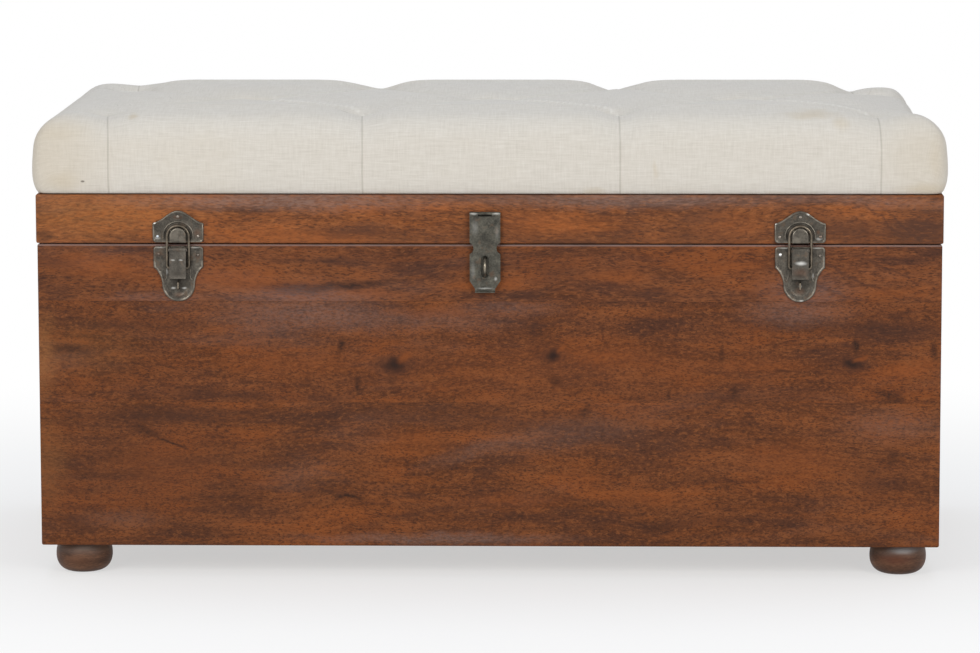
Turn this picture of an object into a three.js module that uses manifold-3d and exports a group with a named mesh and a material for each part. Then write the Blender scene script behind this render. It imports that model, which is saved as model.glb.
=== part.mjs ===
// Storage bench: a low pine chest on bun feet with a hinged lid, a deep-buttoned seat cushion,
// two toggle latches and a hasp on the front, two butt hinges behind and a sliding lid stay inside.
// Millimetres, +Z up, +X to the right of someone facing the front, the front facing -Y.
import * as THREE from 'three';
import { RoundedBoxGeometry } from 'three/addons/geometries/RoundedBoxGeometry.js';
import { mergeVertices } from 'three/addons/utils/BufferGeometryUtils.js';
import Module from 'manifold-3d';

// ---------------------------------------------------------------- driving dimensions

// Clearances
const glueLine = 0.1; // between faces that are glued, screwed or rest on each other
const fitGap = 0.3; // round a piece that is let into another
const turnGap = 0.2; // round a pin that something turns on

// Chest
const chestWidth = 900;
const chestDepth = 400;
const wallHeight = 305;
const wallThickness = 18;
const topBoardHeight = 57; // the front is glued up from three boards
const middleBoardHeight = 102;
const edgeRound = 2;
const cornerRebate = 6; // how far the side panels are let into the front and the back
const floorThickness = 12;
const floorGroove = 6;
const floorLift = 22; // from the walls' lower edge to the floor board
const cornerBlockSize = 50;

// Bun feet
const footHeight = 32;
const footRadius = 28.5;
const footNeckRadius = 25;
const footSoleRadius = 9;
const footWidestHeight = 22;
const footInset = 38.5; // foot centre to the chest's outer faces
const footTenonRadius = 9;
const footTenonLength = 16;

// Lid
const seamGap = 1;
const lidRailHeight = 49;
const lidOverhang = 1; // past the chest's front and sides
const lidBoardThickness = 12;
const lidBoardInset = 8;
const lidOpening = 95; // degrees

// Seat cushion
const cushionOverhang = 6; // past the lid rails
const cushionEdgeHeight = 46; // where the upright sides start to roll over
const cushionRoll = 22; // how much higher the rolled edge ends
const cushionCrown = 18; // how much the puffs rise above the rolled edge
const cushionTuck = 4; // how far the sides pull in at the lid
const cushionBulgeHeight = 20;
const tuftColumns = 4; // buttons in the front and back rows
const tuftPitch = 257;
const tuftRowPitch = 132;
const tuftDepth = 27; // how far the buttons pull the cover down from the crown
const pleatDepth = 11; // of a pleat, halfway between two buttons
const pleatReach = 46; // from a pleat to the full height of the puff beside it
const crownReach = 92; // from the cushion's edge to the full height of its crown
const dimpleRadius = 17.6; // over which a button's own pull fades
const edgePleatDepth = 4; // of the upright pleats on the cushion's sides
const buttonRadius = 11;
const buttonThickness = 5;

// Toggle latches
const latchInset = 141; // from the chest's ends to the middle of a latch
const plateThickness = 1.2;
const plateRimHeight = 0.7;
const plateRimWidth = 2;
const catchHalfWidth = 25.3;
const catchLift = 1.6; // catch plate's lower edge above the middle of the seam
const catchShoulder = 19.4; // lower edge to the shoulders
const catchPeak = 31.9; // lower edge to the top of the bow
const bowFootHalfWidth = 14; // where the bow's sides start to climb
const bowFootRise = 3; // above the shoulders
const bowCrownHalfWidth = 9; // over which its top is nearly level
const bossHalfWidth = 8.4;
const bossHeight = 15.3;
const bossProud = 5.9;
const bossWall = 1.2;
const baseHalfWidth = 24.8;
const baseDrop = 2.2; // base plate's upper edge below the middle of the seam
const baseStraight = 21; // length of its straight sides
const baseLength = 55.3;
const baseLobeRadius = 16.3;
const ogeeHalfWidth = 19; // where the sides turn down into the lobe
const ogeeDrop = 4.7;
const ogeeSweep = 12;
const plateCorner = 3.5;
const latchPinRadius = 1.2;
const latchPinHead = 1.9;
const latchPinHeadHeight = 0.6;
const earRadius = 1.8;
const earThickness = 1.2;
const earRootTop = 1.2; // the ear's root on the plate, below the pin
const earRootBottom = 8.1;
const knuckleRadius = 3.4;
const leverHalfWidth = 8.2;
const leverWall = 1.2;
const leverStep = 1.6; // how much the grip stands proud of the pivot end
const leverStepTop = 7; // below the pivot
const leverStepBottom = 11;
const leverStraightEnd = 24;
const leverLength = 28;
const leverLip = 1.6;
const cheekHeelDrop = 0.8; // back of the cheeks below the bail's pivot
const cheekToeRise = 2.4; // front of the cheeks above the end of the straight grip
const bailPivotDrop = 18; // below the lever's pivot
const bailPivotSet = 1; // nearer the chest than the lever's pivot, so the latch locks over centre
const bailWireRadius = 1.3;
const bailHalfSpan = 10.9;
const bailBend = 2.6;
const bailEndRun = 1.4; // how far its ends reach in past the lever's cheeks
const bailSeat = 0.4; // between the bail and the top of the catch
const eyeWireRadius = 0.9;
const eyeProud = 8;
const eyeHalfHeight = 4.5;
const eyeDrop = 39; // middle of the padlock eye, below the base plate's upper edge
const eyeCorner = 1.6;
const eyeBuried = 8;

// Hasp
const haspOffset = -3.5; // from the chest's centre line
const haspBarrelRise = 30.8; // above the middle of the seam
const haspBarrelRadius = 1.95;
const haspPinRadius = 0.75;
const haspHalfWidth = 15.3;
const haspMiddleKnuckle = 13.4;
const haspSheet = 1.15;
const haspWaistDrop = 34.5; // from the barrel to the waist
const haspWaistDepth = 3.9;
const haspWaistRadius = 6;
const haspStraight = 67; // from the barrel to the tip's taper
const haspTaper = 8;
const haspTipHalfWidth = 10;
const haspLipRadius = 2.4;
const haspSlotDrop = 52.7; // from the barrel to the middle of the slot
const haspSlotHalfWidth = 3.85;
const haspSlotHalfHeight = 11.2;
const leafHalfWidth = 14;
const leafLength = 26;
const staplePlateHalfWidth = 11;
const staplePlateHalfHeight = 20;
const stapleWireRadius = 1.4;
const stapleHalfSpan = 8.15; // between the middles of its legs, halved
const stapleBuried = 10;
const padlockGap = 7; // between the strap and the staple's crown

// Butt hinges
const hingeInset = 170; // from the chest's ends to the middle of a hinge
const hingeLength = 60;
const hingeLeafHeight = 30;
const hingeLeafThickness = 1.8;
const hingeBarrelRadius = 3.5;
const hingePinRadius = 1.6;
const hingeKnuckles = 5;

// Sliding lid stay, on the right
const stayReach = 130; // from the hinge axis to either screw
const stayGuideDrop = 28; // guide screw below the hinge axis
const stayPivotRise = 22; // lid screw above the hinge axis
const stayBarWidth = 12;
const stayBarThickness = 2;
const stayWasher = 2.4; // holds the bar off the wood
const stayScrewRadius = 2;
const stayHeadRadius = 4.5;
const stayHeadHeight = 1.8;
const stayScrewLength = 11; // in the wood
const stayRunOut = 4; // slot left past the guide screw at both ends

// Facets
const roundSides = 12; // round a pin, screw, barrel or button
const footSides = 18;
const footSteps = 4; // up each of a foot's two curves
const wireSides = 8;
const arcSteps = 5; // along each curve of a plate's outline
const easedSteps = 2; // round an eased edge
const tuftCells = { x: 11, y: 6 }; // of the cushion's net, from one button to the next
const rollCells = 3; // across its rolled edge
const bailSteps = 38;
const stapleSteps = 20;

// ---------------------------------------------------------------- worked out from them

const frontFace = -chestDepth / 2;
const backFace = chestDepth / 2;
const innerHalfWidth = chestWidth / 2 - wallThickness;
const innerHalfDepth = chestDepth / 2 - wallThickness;
const lidHalfWidth = chestWidth / 2 + lidOverhang;
const lidFront = frontFace - lidOverhang;
const lidInnerHalfWidth = lidHalfWidth - wallThickness;
const seamHeight = footHeight + wallHeight + seamGap / 2;
const lidBase = seamHeight + seamGap / 2;
const latchOffset = chestWidth / 2 - latchInset; // from the chest's centre line
const hingeOffset = chestWidth / 2 - hingeInset;

// ---------------------------------------------------------------- finishes

const stainedPine = { color: 0x7c4b31, roughness: 0.5, metalness: 0 };
const stainedFoot = { color: 0x5f4638, roughness: 0.45, metalness: 0 };
const plywood = { color: 0xb08a5e, roughness: 0.75, metalness: 0 };
const barePine = { color: 0xa67a4b, roughness: 0.75, metalness: 0 };
const linen = { color: 0xd2cdc2, roughness: 0.95, metalness: 0 };
const agedIron = { color: 0x6a645a, roughness: 0.42, metalness: 0.9 };
const zincSteel = { color: 0x9a978e, roughness: 0.35, metalness: 0.9 };

// ---------------------------------------------------------------- solids and scene helpers

const wasm = await Module();
wasm.setup();

/** Merges a geometry's shared vertices and drops the slivers that a lathe leaves at its poles. */
function weld(geometry) {
  const bare = geometry.clone();
  bare.deleteAttribute('normal');
  bare.deleteAttribute('uv');
  const welded = mergeVertices(bare);
  const corners = welded.index.array;
  const kept = [];
  for (let i = 0; i < corners.length; i += 3) {
    const [a, b, c] = corners.slice(i, i + 3);
    if (a !== b && b !== c && c !== a) kept.push(a, b, c);
  }
  welded.setIndex(kept);
  return welded;
}

function toSolid(geometry) {
  const welded = weld(geometry);
  return new wasm.Manifold(new wasm.Mesh({
    numProp: 3,
    vertProperties: new Float32Array(welded.attributes.position.array),
    triVerts: new Uint32Array(welded.index.array),
  }));
}

function toGeometry(solid) {
  const mesh = solid.getMesh();
  const geometry = new THREE.BufferGeometry();
  geometry.setAttribute('position', new THREE.BufferAttribute(mesh.vertProperties, 3));
  geometry.setIndex(new THREE.BufferAttribute(mesh.triVerts, 1));
  return geometry;
}

const cut = (body, ...tools) =>
  toGeometry(tools.reduce((left, tool) => left.subtract(toSolid(tool)), toSolid(body)));

const join = (body, ...others) =>
  toGeometry(others.reduce((sum, other) => sum.add(toSolid(other)), toSolid(body)));

const common = (a, b) => toGeometry(toSolid(a).intersect(toSolid(b)));

/** A box between two corners. */
function block([x0, y0, z0], [x1, y1, z1]) {
  return new THREE.BoxGeometry(x1 - x0, y1 - y0, z1 - z0)
    .translate((x0 + x1) / 2, (y0 + y1) / 2, (z0 + z1) / 2);
}

/** The same box with its edges eased. */
function easedBlock([x0, y0, z0], [x1, y1, z1], radius) {
  return new RoundedBoxGeometry(x1 - x0, y1 - y0, z1 - z0, easedSteps, radius)
    .translate((x0 + x1) / 2, (y0 + y1) / 2, (z0 + z1) / 2);
}

/** A round bar along X, centred on the given point. */
function crossRod(radius, length, [x, y, z] = [0, 0, 0]) {
  return new THREE.CylinderGeometry(radius, radius, length, roundSides)
    .rotateZ(Math.PI / 2)
    .translate(x, y, z);
}

/** A turned piece about Z, from a profile of [radius, height] pairs that starts and ends on the axis. */
function turned(profile, sides = roundSides) {
  const points = profile.map(([radius, height]) => new THREE.Vector2(radius, height));
  return weld(new THREE.LatheGeometry(points, sides)).rotateX(Math.PI / 2);
}

/** A shape pushed out along its own normal, from 0 to depth. */
function extruded(shape, depth) {
  return new THREE.ExtrudeGeometry(shape, { depth, curveSegments: arcSteps, bevelEnabled: false });
}

/** A side profile, drawn as (outward, up), made as wide as asked across X and centred on it. */
function acrossX(shape, width) {
  return extruded(shape, width).translate(0, 0, -width / 2).rotateY(-Math.PI / 2);
}

/** A pressed piece that lies on z = 0, with a rounded front edge. */
function pressed(outline, height, edge) {
  const doubled = new THREE.ExtrudeGeometry(outline, {
    depth: 2 * (height - edge),
    bevelThickness: edge,
    bevelSize: edge,
    bevelOffset: -edge,
    bevelSegments: 1,
    curveSegments: arcSteps,
  }).translate(0, 0, edge - height);
  const half = block([-chestWidth, -chestWidth, -2 * height], [chestWidth, chestWidth, 0]);
  return cut(doubled, half);
}

/** A sheet-metal plate with a raised bead round its outline. */
function beadedPlate(outline) {
  const height = plateThickness + plateRimHeight;
  const hollow = new THREE.ExtrudeGeometry(outline, {
    depth: height,
    bevelThickness: plateRimHeight,
    bevelSize: plateRimHeight,
    bevelOffset: -plateRimWidth - plateRimHeight,
    bevelSegments: 1,
    curveSegments: arcSteps,
  }).translate(0, 0, height);
  return cut(pressed(outline, height, plateRimHeight), hollow);
}

/** A curve in the XY plane, for a wire to follow. */
class FlatCurve extends THREE.Curve {
  constructor(path) {
    super();
    this.path = path;
  }

  getPoint(t, target = new THREE.Vector3()) {
    const { x, y } = this.path.getPoint(t);
    return target.set(x, y, 0);
  }
}

/** A bent wire that follows a path in the XY plane. */
function wire(path, radius, steps) {
  const section = new THREE.Shape().absarc(0, 0, radius, 0, 2 * Math.PI);
  return new THREE.ExtrudeGeometry(section, {
    steps,
    curveSegments: wireSides / 2,
    extrudePath: new FlatCurve(path),
  });
}

function rectangle(x0, y0, x1, y1) {
  return new THREE.Shape([
    new THREE.Vector2(x0, y0),
    new THREE.Vector2(x1, y0),
    new THREE.Vector2(x1, y1),
    new THREE.Vector2(x0, y1),
  ]);
}

function addPart(parent, name, geometry, finish) {
  const mesh = new THREE.Mesh(geometry, new THREE.MeshStandardMaterial(finish));
  mesh.name = name;
  parent.add(mesh);
  return mesh;
}

function addGroup(parent, x = 0, y = 0, z = 0) {
  const group = new THREE.Group();
  group.position.set(x, y, z);
  parent.add(group);
  return group;
}

// ---------------------------------------------------------------- chest

/** Front, back and side walls, the floor board and the glue blocks. Z runs up from the walls' lower edge. */
function buildChest(chest) {
  const outside = easedBlock(
    [-chestWidth / 2, frontFace, 0],
    [chestWidth / 2, backFace, wallHeight],
    edgeRound,
  );
  const floorBottom = floorLift + glueLine;
  const floorTop = floorBottom + floorThickness;
  const groove = block(
    [-innerHalfWidth - floorGroove, -innerHalfDepth - floorGroove, floorLift],
    [innerHalfWidth + floorGroove, innerHalfDepth + floorGroove, floorTop + fitGap],
  );

  /** A board of the front or the back, rebated at both ends for the side panels. */
  const longBoard = (side, bottom, top) => {
    const faces = [side * chestDepth / 2, side * innerHalfDepth].sort((a, b) => a - b);
    const rebateFace = side * (innerHalfDepth + cornerRebate + glueLine);
    const blank = block([-chestWidth / 2, faces[0], bottom], [chestWidth / 2, faces[1], top]);
    const rebates = [-1, 1].map((end) => {
      const across = [end * (innerHalfWidth - glueLine), end * chestWidth].sort((a, b) => a - b);
      const through = [rebateFace, 0].sort((a, b) => a - b);
      return block([across[0], through[0], -wallHeight], [across[1], through[1], 2 * wallHeight]);
    });
    return cut(common(blank, outside), groove, ...rebates);
  };

  const upperJoint = wallHeight - topBoardHeight;
  const lowerJoint = upperJoint - middleBoardHeight;
  const drilled = join(
    ...legHoles(haspStaple, haspOffset),
    ...legHoles(padlockEye, -latchOffset),
    ...legHoles(padlockEye, latchOffset),
  ).rotateX(Math.PI / 2).translate(0, frontFace, seamHeight - footHeight);
  const topBoard = cut(longBoard(-1, upperJoint + glueLine, wallHeight), drilled);
  addPart(chest, 'front_board_top', topBoard, stainedPine);
  addPart(chest, 'front_board_middle', longBoard(-1, lowerJoint + glueLine, upperJoint), stainedPine);
  addPart(chest, 'front_board_bottom', longBoard(-1, 0, lowerJoint), stainedPine);
  addPart(chest, 'back_panel', longBoard(1, 0, wallHeight), stainedPine);

  for (const [name, side] of [['left', -1], ['right', 1]]) {
    const across = [side * innerHalfWidth, side * chestWidth / 2].sort((a, b) => a - b);
    const reach = innerHalfDepth + cornerRebate;
    const blank = block([across[0], -reach, 0], [across[1], reach, wallHeight]);
    let panel = cut(common(blank, outside), groove);
    if (side > 0) panel = cut(panel, stayScrewHole(stayGuide).translate(0, 0, -footHeight));
    addPart(chest, `${name}_side_panel`, panel, stainedPine);
  }

  const floorHalfWidth = innerHalfWidth + floorGroove - fitGap;
  const floorHalfDepth = innerHalfDepth + floorGroove - fitGap;
  addPart(chest, 'floor_board', block(
    [-floorHalfWidth, -floorHalfDepth, floorBottom],
    [floorHalfWidth, floorHalfDepth, floorTop],
  ), plywood);

  forEachCorner((corner, sideX, sideY) => {
    const outerX = sideX * (innerHalfWidth - glueLine);
    const outerY = sideY * (innerHalfDepth - glueLine);
    const [x0, x1] = [outerX, outerX - sideX * cornerBlockSize].sort((a, b) => a - b);
    const [y0, y1] = [outerY, outerY - sideY * cornerBlockSize].sort((a, b) => a - b);
    const tenonHole = turned([
      [0, -footTenonLength],
      [footTenonRadius + fitGap, -footTenonLength],
      [footTenonRadius + fitGap, footTenonLength + fitGap],
      [0, footTenonLength + fitGap],
    ], footSides).translate(...footCentre(sideX, sideY), 0);
    const glueBlock = cut(block([x0, y0, 0], [x1, y1, floorLift - glueLine]), tenonHole);
    addPart(chest, `${corner}_corner_block`, glueBlock, barePine);
  });
}

function forEachCorner(make) {
  for (const [depthName, sideY] of [['front', -1], ['back', 1]]) {
    for (const [widthName, sideX] of [['left', -1], ['right', 1]]) {
      make(`${depthName}_${widthName}`, sideX, sideY);
    }
  }
}

function footCentre(sideX, sideY) {
  return [sideX * (chestWidth / 2 - footInset), sideY * (chestDepth / 2 - footInset)];
}

/** Turned bun feet, each with a round tenon glued into its corner block. */
function buildFeet(bench) {
  const lower = [];
  const upper = [];
  for (let i = 0; i <= footSteps; i += 1) {
    const angle = (Math.PI / 2) * (i / footSteps);
    lower.push([
      footSoleRadius + (footRadius - footSoleRadius) * Math.sin(angle),
      footWidestHeight * (1 - Math.cos(angle)),
    ]);
    upper.push([
      footNeckRadius + (footRadius - footNeckRadius) * Math.cos(angle),
      footWidestHeight + (footHeight - glueLine - footWidestHeight) * Math.sin(angle),
    ]);
  }
  const profile = [
    [0, 0],
    ...lower,
    ...upper.slice(1),
    [footTenonRadius, footHeight - glueLine],
    [footTenonRadius, footHeight + footTenonLength],
    [0, footHeight + footTenonLength],
  ];
  forEachCorner((corner, sideX, sideY) => {
    const foot = addPart(bench, `${corner}_foot`, turned(profile, footSides), stainedFoot);
    foot.position.set(...footCentre(sideX, sideY), 0);
  });
}

// ---------------------------------------------------------------- lid

/** The lid's four rails and the plywood board that carries the cushion. Z from the rails' lower edge. */
function buildLidFrame(lid) {
  const outside = easedBlock(
    [-lidHalfWidth, lidFront, 0],
    [lidHalfWidth, backFace, lidRailHeight],
    edgeRound,
  );
  const sides = { front: [lidFront, lidFront + wallThickness], back: [innerHalfDepth, backFace] };
  const inward = { front: 1, back: -1 };
  for (const [name, [y0, y1]] of Object.entries(sides)) {
    const rebateStart = name === 'front'
      ? y1 - cornerRebate - glueLine
      : y0 + cornerRebate + glueLine;
    const rebateEnd = rebateStart + inward[name] * wallThickness;
    const [r0, r1] = [rebateStart, rebateEnd].sort((a, b) => a - b);
    const rebates = [-1, 1].map((end) => {
      const [x0, x1] = [end * (lidInnerHalfWidth - glueLine), end * chestWidth].sort((a, b) => a - b);
      return block([x0, r0, -lidRailHeight], [x1, r1, 2 * lidRailHeight]);
    });
    const rail = common(block([-lidHalfWidth, y0, 0], [lidHalfWidth, y1, lidRailHeight]), outside);
    addPart(lid, `lid_rail_${name}`, cut(rail, ...rebates), stainedPine);
  }
  const endFront = lidFront + wallThickness - cornerRebate;
  const endBack = innerHalfDepth + cornerRebate;
  for (const [name, side] of [['left', -1], ['right', 1]]) {
    const [x0, x1] = [side * lidInnerHalfWidth, side * lidHalfWidth].sort((a, b) => a - b);
    let rail = common(block([x0, endFront, 0], [x1, endBack, lidRailHeight]), outside);
    if (side > 0) rail = cut(rail, stayScrewHole(stayPivot).translate(0, 0, -lidBase));
    addPart(lid, `lid_rail_${name}`, rail, stainedPine);
  }
  addPart(lid, 'lid_board', block(
    [-lidHalfWidth + lidBoardInset, lidFront + lidBoardInset, lidRailHeight + glueLine],
    [
      lidHalfWidth - lidBoardInset,
      backFace - lidBoardInset,
      lidRailHeight + glueLine + lidBoardThickness,
    ],
  ), plywood);
}

// ---------------------------------------------------------------- seat cushion

const cushionHalfWidth = lidHalfWidth + cushionOverhang;
const cushionHalfDepth = (backFace - lidFront) / 2 + cushionOverhang;
const cushionTopHeight = cushionEdgeHeight + cushionRoll + cushionCrown;
const tuftCell = { x: tuftPitch / tuftCells.x, y: tuftRowPitch / tuftCells.y };

/** Buttons in three staggered rows, as [x, y] from the cushion's middle. */
function buttonPlaces() {
  const places = [];
  for (const row of [-1, 0, 1]) {
    const count = row === 0 ? tuftColumns - 1 : tuftColumns;
    for (let i = 0; i < count; i += 1) {
      places.push([(i - (count - 1) / 2) * tuftPitch, row * tuftRowPitch]);
    }
  }
  return places;
}

/** Pleats from each button to its diagonal neighbours, and from the outer buttons to the edges. */
function pleatLines() {
  const lines = [];
  const outer = (tuftColumns - 1) / 2 * tuftPitch;
  for (const [x, y] of buttonPlaces()) {
    if (y === 0) {
      for (const [sx, sy] of [[-1, -1], [-1, 1], [1, -1], [1, 1]]) {
        lines.push([x, y, x + sx * tuftPitch / 2, sy * tuftRowPitch]);
      }
    } else {
      lines.push([x, y, x, Math.sign(y) * cushionHalfDepth]);
      if (Math.abs(x) === outer) lines.push([x, y, Math.sign(x) * cushionHalfWidth, y]);
    }
  }
  return lines;
}

const buttons = buttonPlaces();
const pleats = pleatLines();

/** Distance from a point to a pleat. */
function pleatDistance(x, y, [x0, y0, x1, y1]) {
  const along = ((x - x0) * (x1 - x0) + (y - y0) * (y1 - y0)) / ((x1 - x0) ** 2 + (y1 - y0) ** 2);
  const t = Math.min(Math.max(along, 0), 1);
  return Math.hypot(x - x0 - t * (x1 - x0), y - y0 - t * (y1 - y0));
}

/** Height of the cover above the flat seat, before it rolls over at the edges. */
function puffHeight(x, y) {
  const toPleat = Math.min(...pleats.map((line) => pleatDistance(x, y, line)));
  const toButton = Math.min(...buttons.map(([bx, by]) => Math.hypot(x - bx, y - by)));
  const toEdge = Math.min(cushionHalfWidth - Math.abs(x), cushionHalfDepth - Math.abs(y));
  const puff = 1 - (1 - Math.min(toPleat / pleatReach, 1)) ** 2;
  const crown = cushionCrown * (1 - (1 - Math.min(toEdge / crownReach, 1)) ** 2);
  const pull = Math.exp(-((toButton / dimpleRadius) ** 2));
  return crown - pleatDepth * (1 - puff) - (tuftDepth - pleatDepth) * pull;
}

/** Spreads grid lines so that they fall on the buttons' columns, with a few more in the rolled edge. */
function gridLine(index, cells, cell, half) {
  const fromMiddle = index - cells / 2;
  const inner = cells / 2 - rollCells;
  if (Math.abs(fromMiddle) <= inner) return fromMiddle * cell;
  const zone = half - inner * cell;
  return Math.sign(fromMiddle) * (inner * cell + zone * (Math.abs(fromMiddle) - inner) / rollCells);
}

/**
 * The tufted cushion: a box net whose top follows the puffs and pleats, whose edges roll over and whose
 * sides tuck in below. A pocket underneath takes the lid board, and each button sits in a round well.
 */
function buildCushion(lid) {
  const cellsX = 2 * (Math.floor((cushionHalfWidth - cushionRoll) / tuftCell.x) + rollCells);
  const cellsY = 2 * (Math.floor((cushionHalfDepth - cushionRoll) / tuftCell.y) + rollCells);
  const sideLevels = [0, cushionBulgeHeight / 2, cushionBulgeHeight, cushionEdgeHeight];
  const net = new THREE.BoxGeometry(cellsX, cellsY, sideLevels.length - 1, cellsX, cellsY, 3);
  const points = net.attributes.position;
  const rollX = cushionHalfWidth - gridLine(cellsX - rollCells, cellsX, tuftCell.x, cushionHalfWidth);
  const rollY = cushionHalfDepth - gridLine(cellsY - rollCells, cellsY, tuftCell.y, cushionHalfDepth);

  for (let i = 0; i < points.count; i += 1) {
    const column = points.getX(i) + cellsX / 2;
    const row = points.getY(i) + cellsY / 2;
    const level = Math.round(points.getZ(i) + (sideLevels.length - 1) / 2);
    let x = gridLine(column, cellsX, tuftCell.x, cushionHalfWidth);
    let y = gridLine(row, cellsY, tuftCell.y, cushionHalfDepth);

    // Round the corners in plan, and measure how far into the rolled edge the point lies (0 to 1).
    const overX = Math.max(Math.abs(x) - (cushionHalfWidth - rollX), 0) / rollX;
    const overY = Math.max(Math.abs(y) - (cushionHalfDepth - rollY), 0) / rollY;
    const over = Math.max(overX, overY);
    if (overX > 0 && overY > 0) {
      const pull = 1 - over / Math.hypot(overX, overY);
      x -= Math.sign(x) * overX * rollX * pull;
      y -= Math.sign(y) * overY * rollY * pull;
    }

    let z = sideLevels[level];
    if (level === sideLevels.length - 1) {
      z += cushionRoll * Math.sqrt(1 - over ** 2) + puffHeight(x, y) * (1 - over ** 4);
    }
    const low = Math.max(1 - z / cushionBulgeHeight, 0);
    const tuck = cushionTuck * low ** 2;
    const onPleat = pleats.some((line) => pleatDistance(x, y, line) < 1);
    const dent = tuck + (onPleat ? edgePleatDepth * over * (1 - low ** 2) : 0);
    if (overX === over) x -= Math.sign(x) * dent * over;
    if (overY === over) y -= Math.sign(y) * dent * over;
    points.setXYZ(i, x, y, z);
  }

  const pocket = block(
    [
      -lidHalfWidth + lidBoardInset - fitGap,
      -cushionHalfDepth + cushionOverhang + lidBoardInset - fitGap,
      -1,
    ],
    [
      lidHalfWidth - lidBoardInset + fitGap,
      cushionHalfDepth - cushionOverhang - lidBoardInset + fitGap,
      lidBoardThickness + fitGap,
    ],
  );
  const buttonHeight = cushionTopHeight - tuftDepth;
  const wells = buttons.map(([x, y]) => turned([
    [0, buttonHeight],
    [buttonRadius + fitGap, buttonHeight],
    [buttonRadius + fitGap, cushionTopHeight + tuftDepth],
    [0, cushionTopHeight + tuftDepth],
  ]).translate(x, y, 0));

  const seat = addGroup(lid, 0, (lidFront + backFace) / 2, lidRailHeight + glueLine);
  addPart(seat, 'seat_cushion', cut(net, pocket, ...wells), linen);

  const domeSteps = 2;
  const dome = [];
  for (let i = 0; i <= domeSteps; i += 1) {
    const angle = (Math.PI / 2) * (i / domeSteps);
    dome.push([buttonRadius * Math.cos(angle), buttonThickness * (1 + Math.sin(angle)) / 2]);
  }
  const buttonShape = turned([[0, 0], [buttonRadius, 0], ...dome]);
  buttons.forEach(([x, y], i) => {
    const name = `seat_button_${String(i + 1).padStart(2, '0')}`;
    addPart(seat, name, buttonShape, linen).position.set(x, y, buttonHeight + fitGap);
  });
}

// ---------------------------------------------------------------- toggle latches

// The front hardware is drawn in a face frame: x to the right, y up from the middle of the seam and
// z outwards from the chest's front.
const lidFaceSet = lidOverhang + glueLine; // where hardware lies on the lid's front
const latchPivot = {
  up: -baseDrop - knuckleRadius,
  out: glueLine + plateThickness + knuckleRadius + 2 * fitGap,
};
const bailPivot = { up: latchPivot.up - bailPivotDrop, out: latchPivot.out - bailPivotSet };
const bossTop = catchLift + bossHeight;
const bailCrown = bossTop + bailSeat + bailWireRadius;
const padlockEye = {
  radius: eyeWireRadius,
  halfSpan: eyeHalfHeight - eyeWireRadius,
  corner: eyeCorner,
  proud: eyeProud,
  buried: eyeBuried,
  middle: -baseDrop - eyeDrop,
};

/** Catch plate on the lid: a bow-topped plate with a hollow, round-topped boss that the bail pulls on. */
function catchPlate() {
  const shoulder = catchLift + catchShoulder;
  const peak = catchLift + catchPeak;
  const bowFoot = shoulder + bowFootRise;
  const outline = new THREE.Shape();
  outline.moveTo(-catchHalfWidth + plateCorner, catchLift);
  outline.lineTo(catchHalfWidth - plateCorner, catchLift);
  outline.absarc(catchHalfWidth - plateCorner, catchLift + plateCorner, plateCorner, -Math.PI / 2, 0);
  outline.lineTo(catchHalfWidth, shoulder);
  outline.bezierCurveTo(bowFootHalfWidth, bowFoot, bowCrownHalfWidth, peak, 0, peak);
  outline.bezierCurveTo(-bowCrownHalfWidth, peak, -bowFootHalfWidth, bowFoot, -catchHalfWidth, shoulder);
  outline.lineTo(-catchHalfWidth, catchLift + plateCorner);
  outline.absarc(
    -catchHalfWidth + plateCorner, catchLift + plateCorner, plateCorner, Math.PI, 1.5 * Math.PI,
  );
  const roundTopped = (halfWidth, bottom, top) => {
    const shape = new THREE.Shape();
    shape.moveTo(-halfWidth, bottom);
    shape.lineTo(halfWidth, bottom);
    shape.absarc(0, top - halfWidth, halfWidth, 0, Math.PI);
    return shape;
  };
  const boss = pressed(roundTopped(bossHalfWidth, catchLift, bossTop), bossProud, bossWall);
  const hollow = extruded(
    roundTopped(bossHalfWidth - bossWall, catchLift - plateCorner, bossTop - bossWall),
    bossProud - bossWall - plateThickness,
  ).translate(0, 0, plateThickness);
  return cut(join(beadedPlate(outline), boss), hollow).translate(0, 0, lidFaceSet);
}

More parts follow.
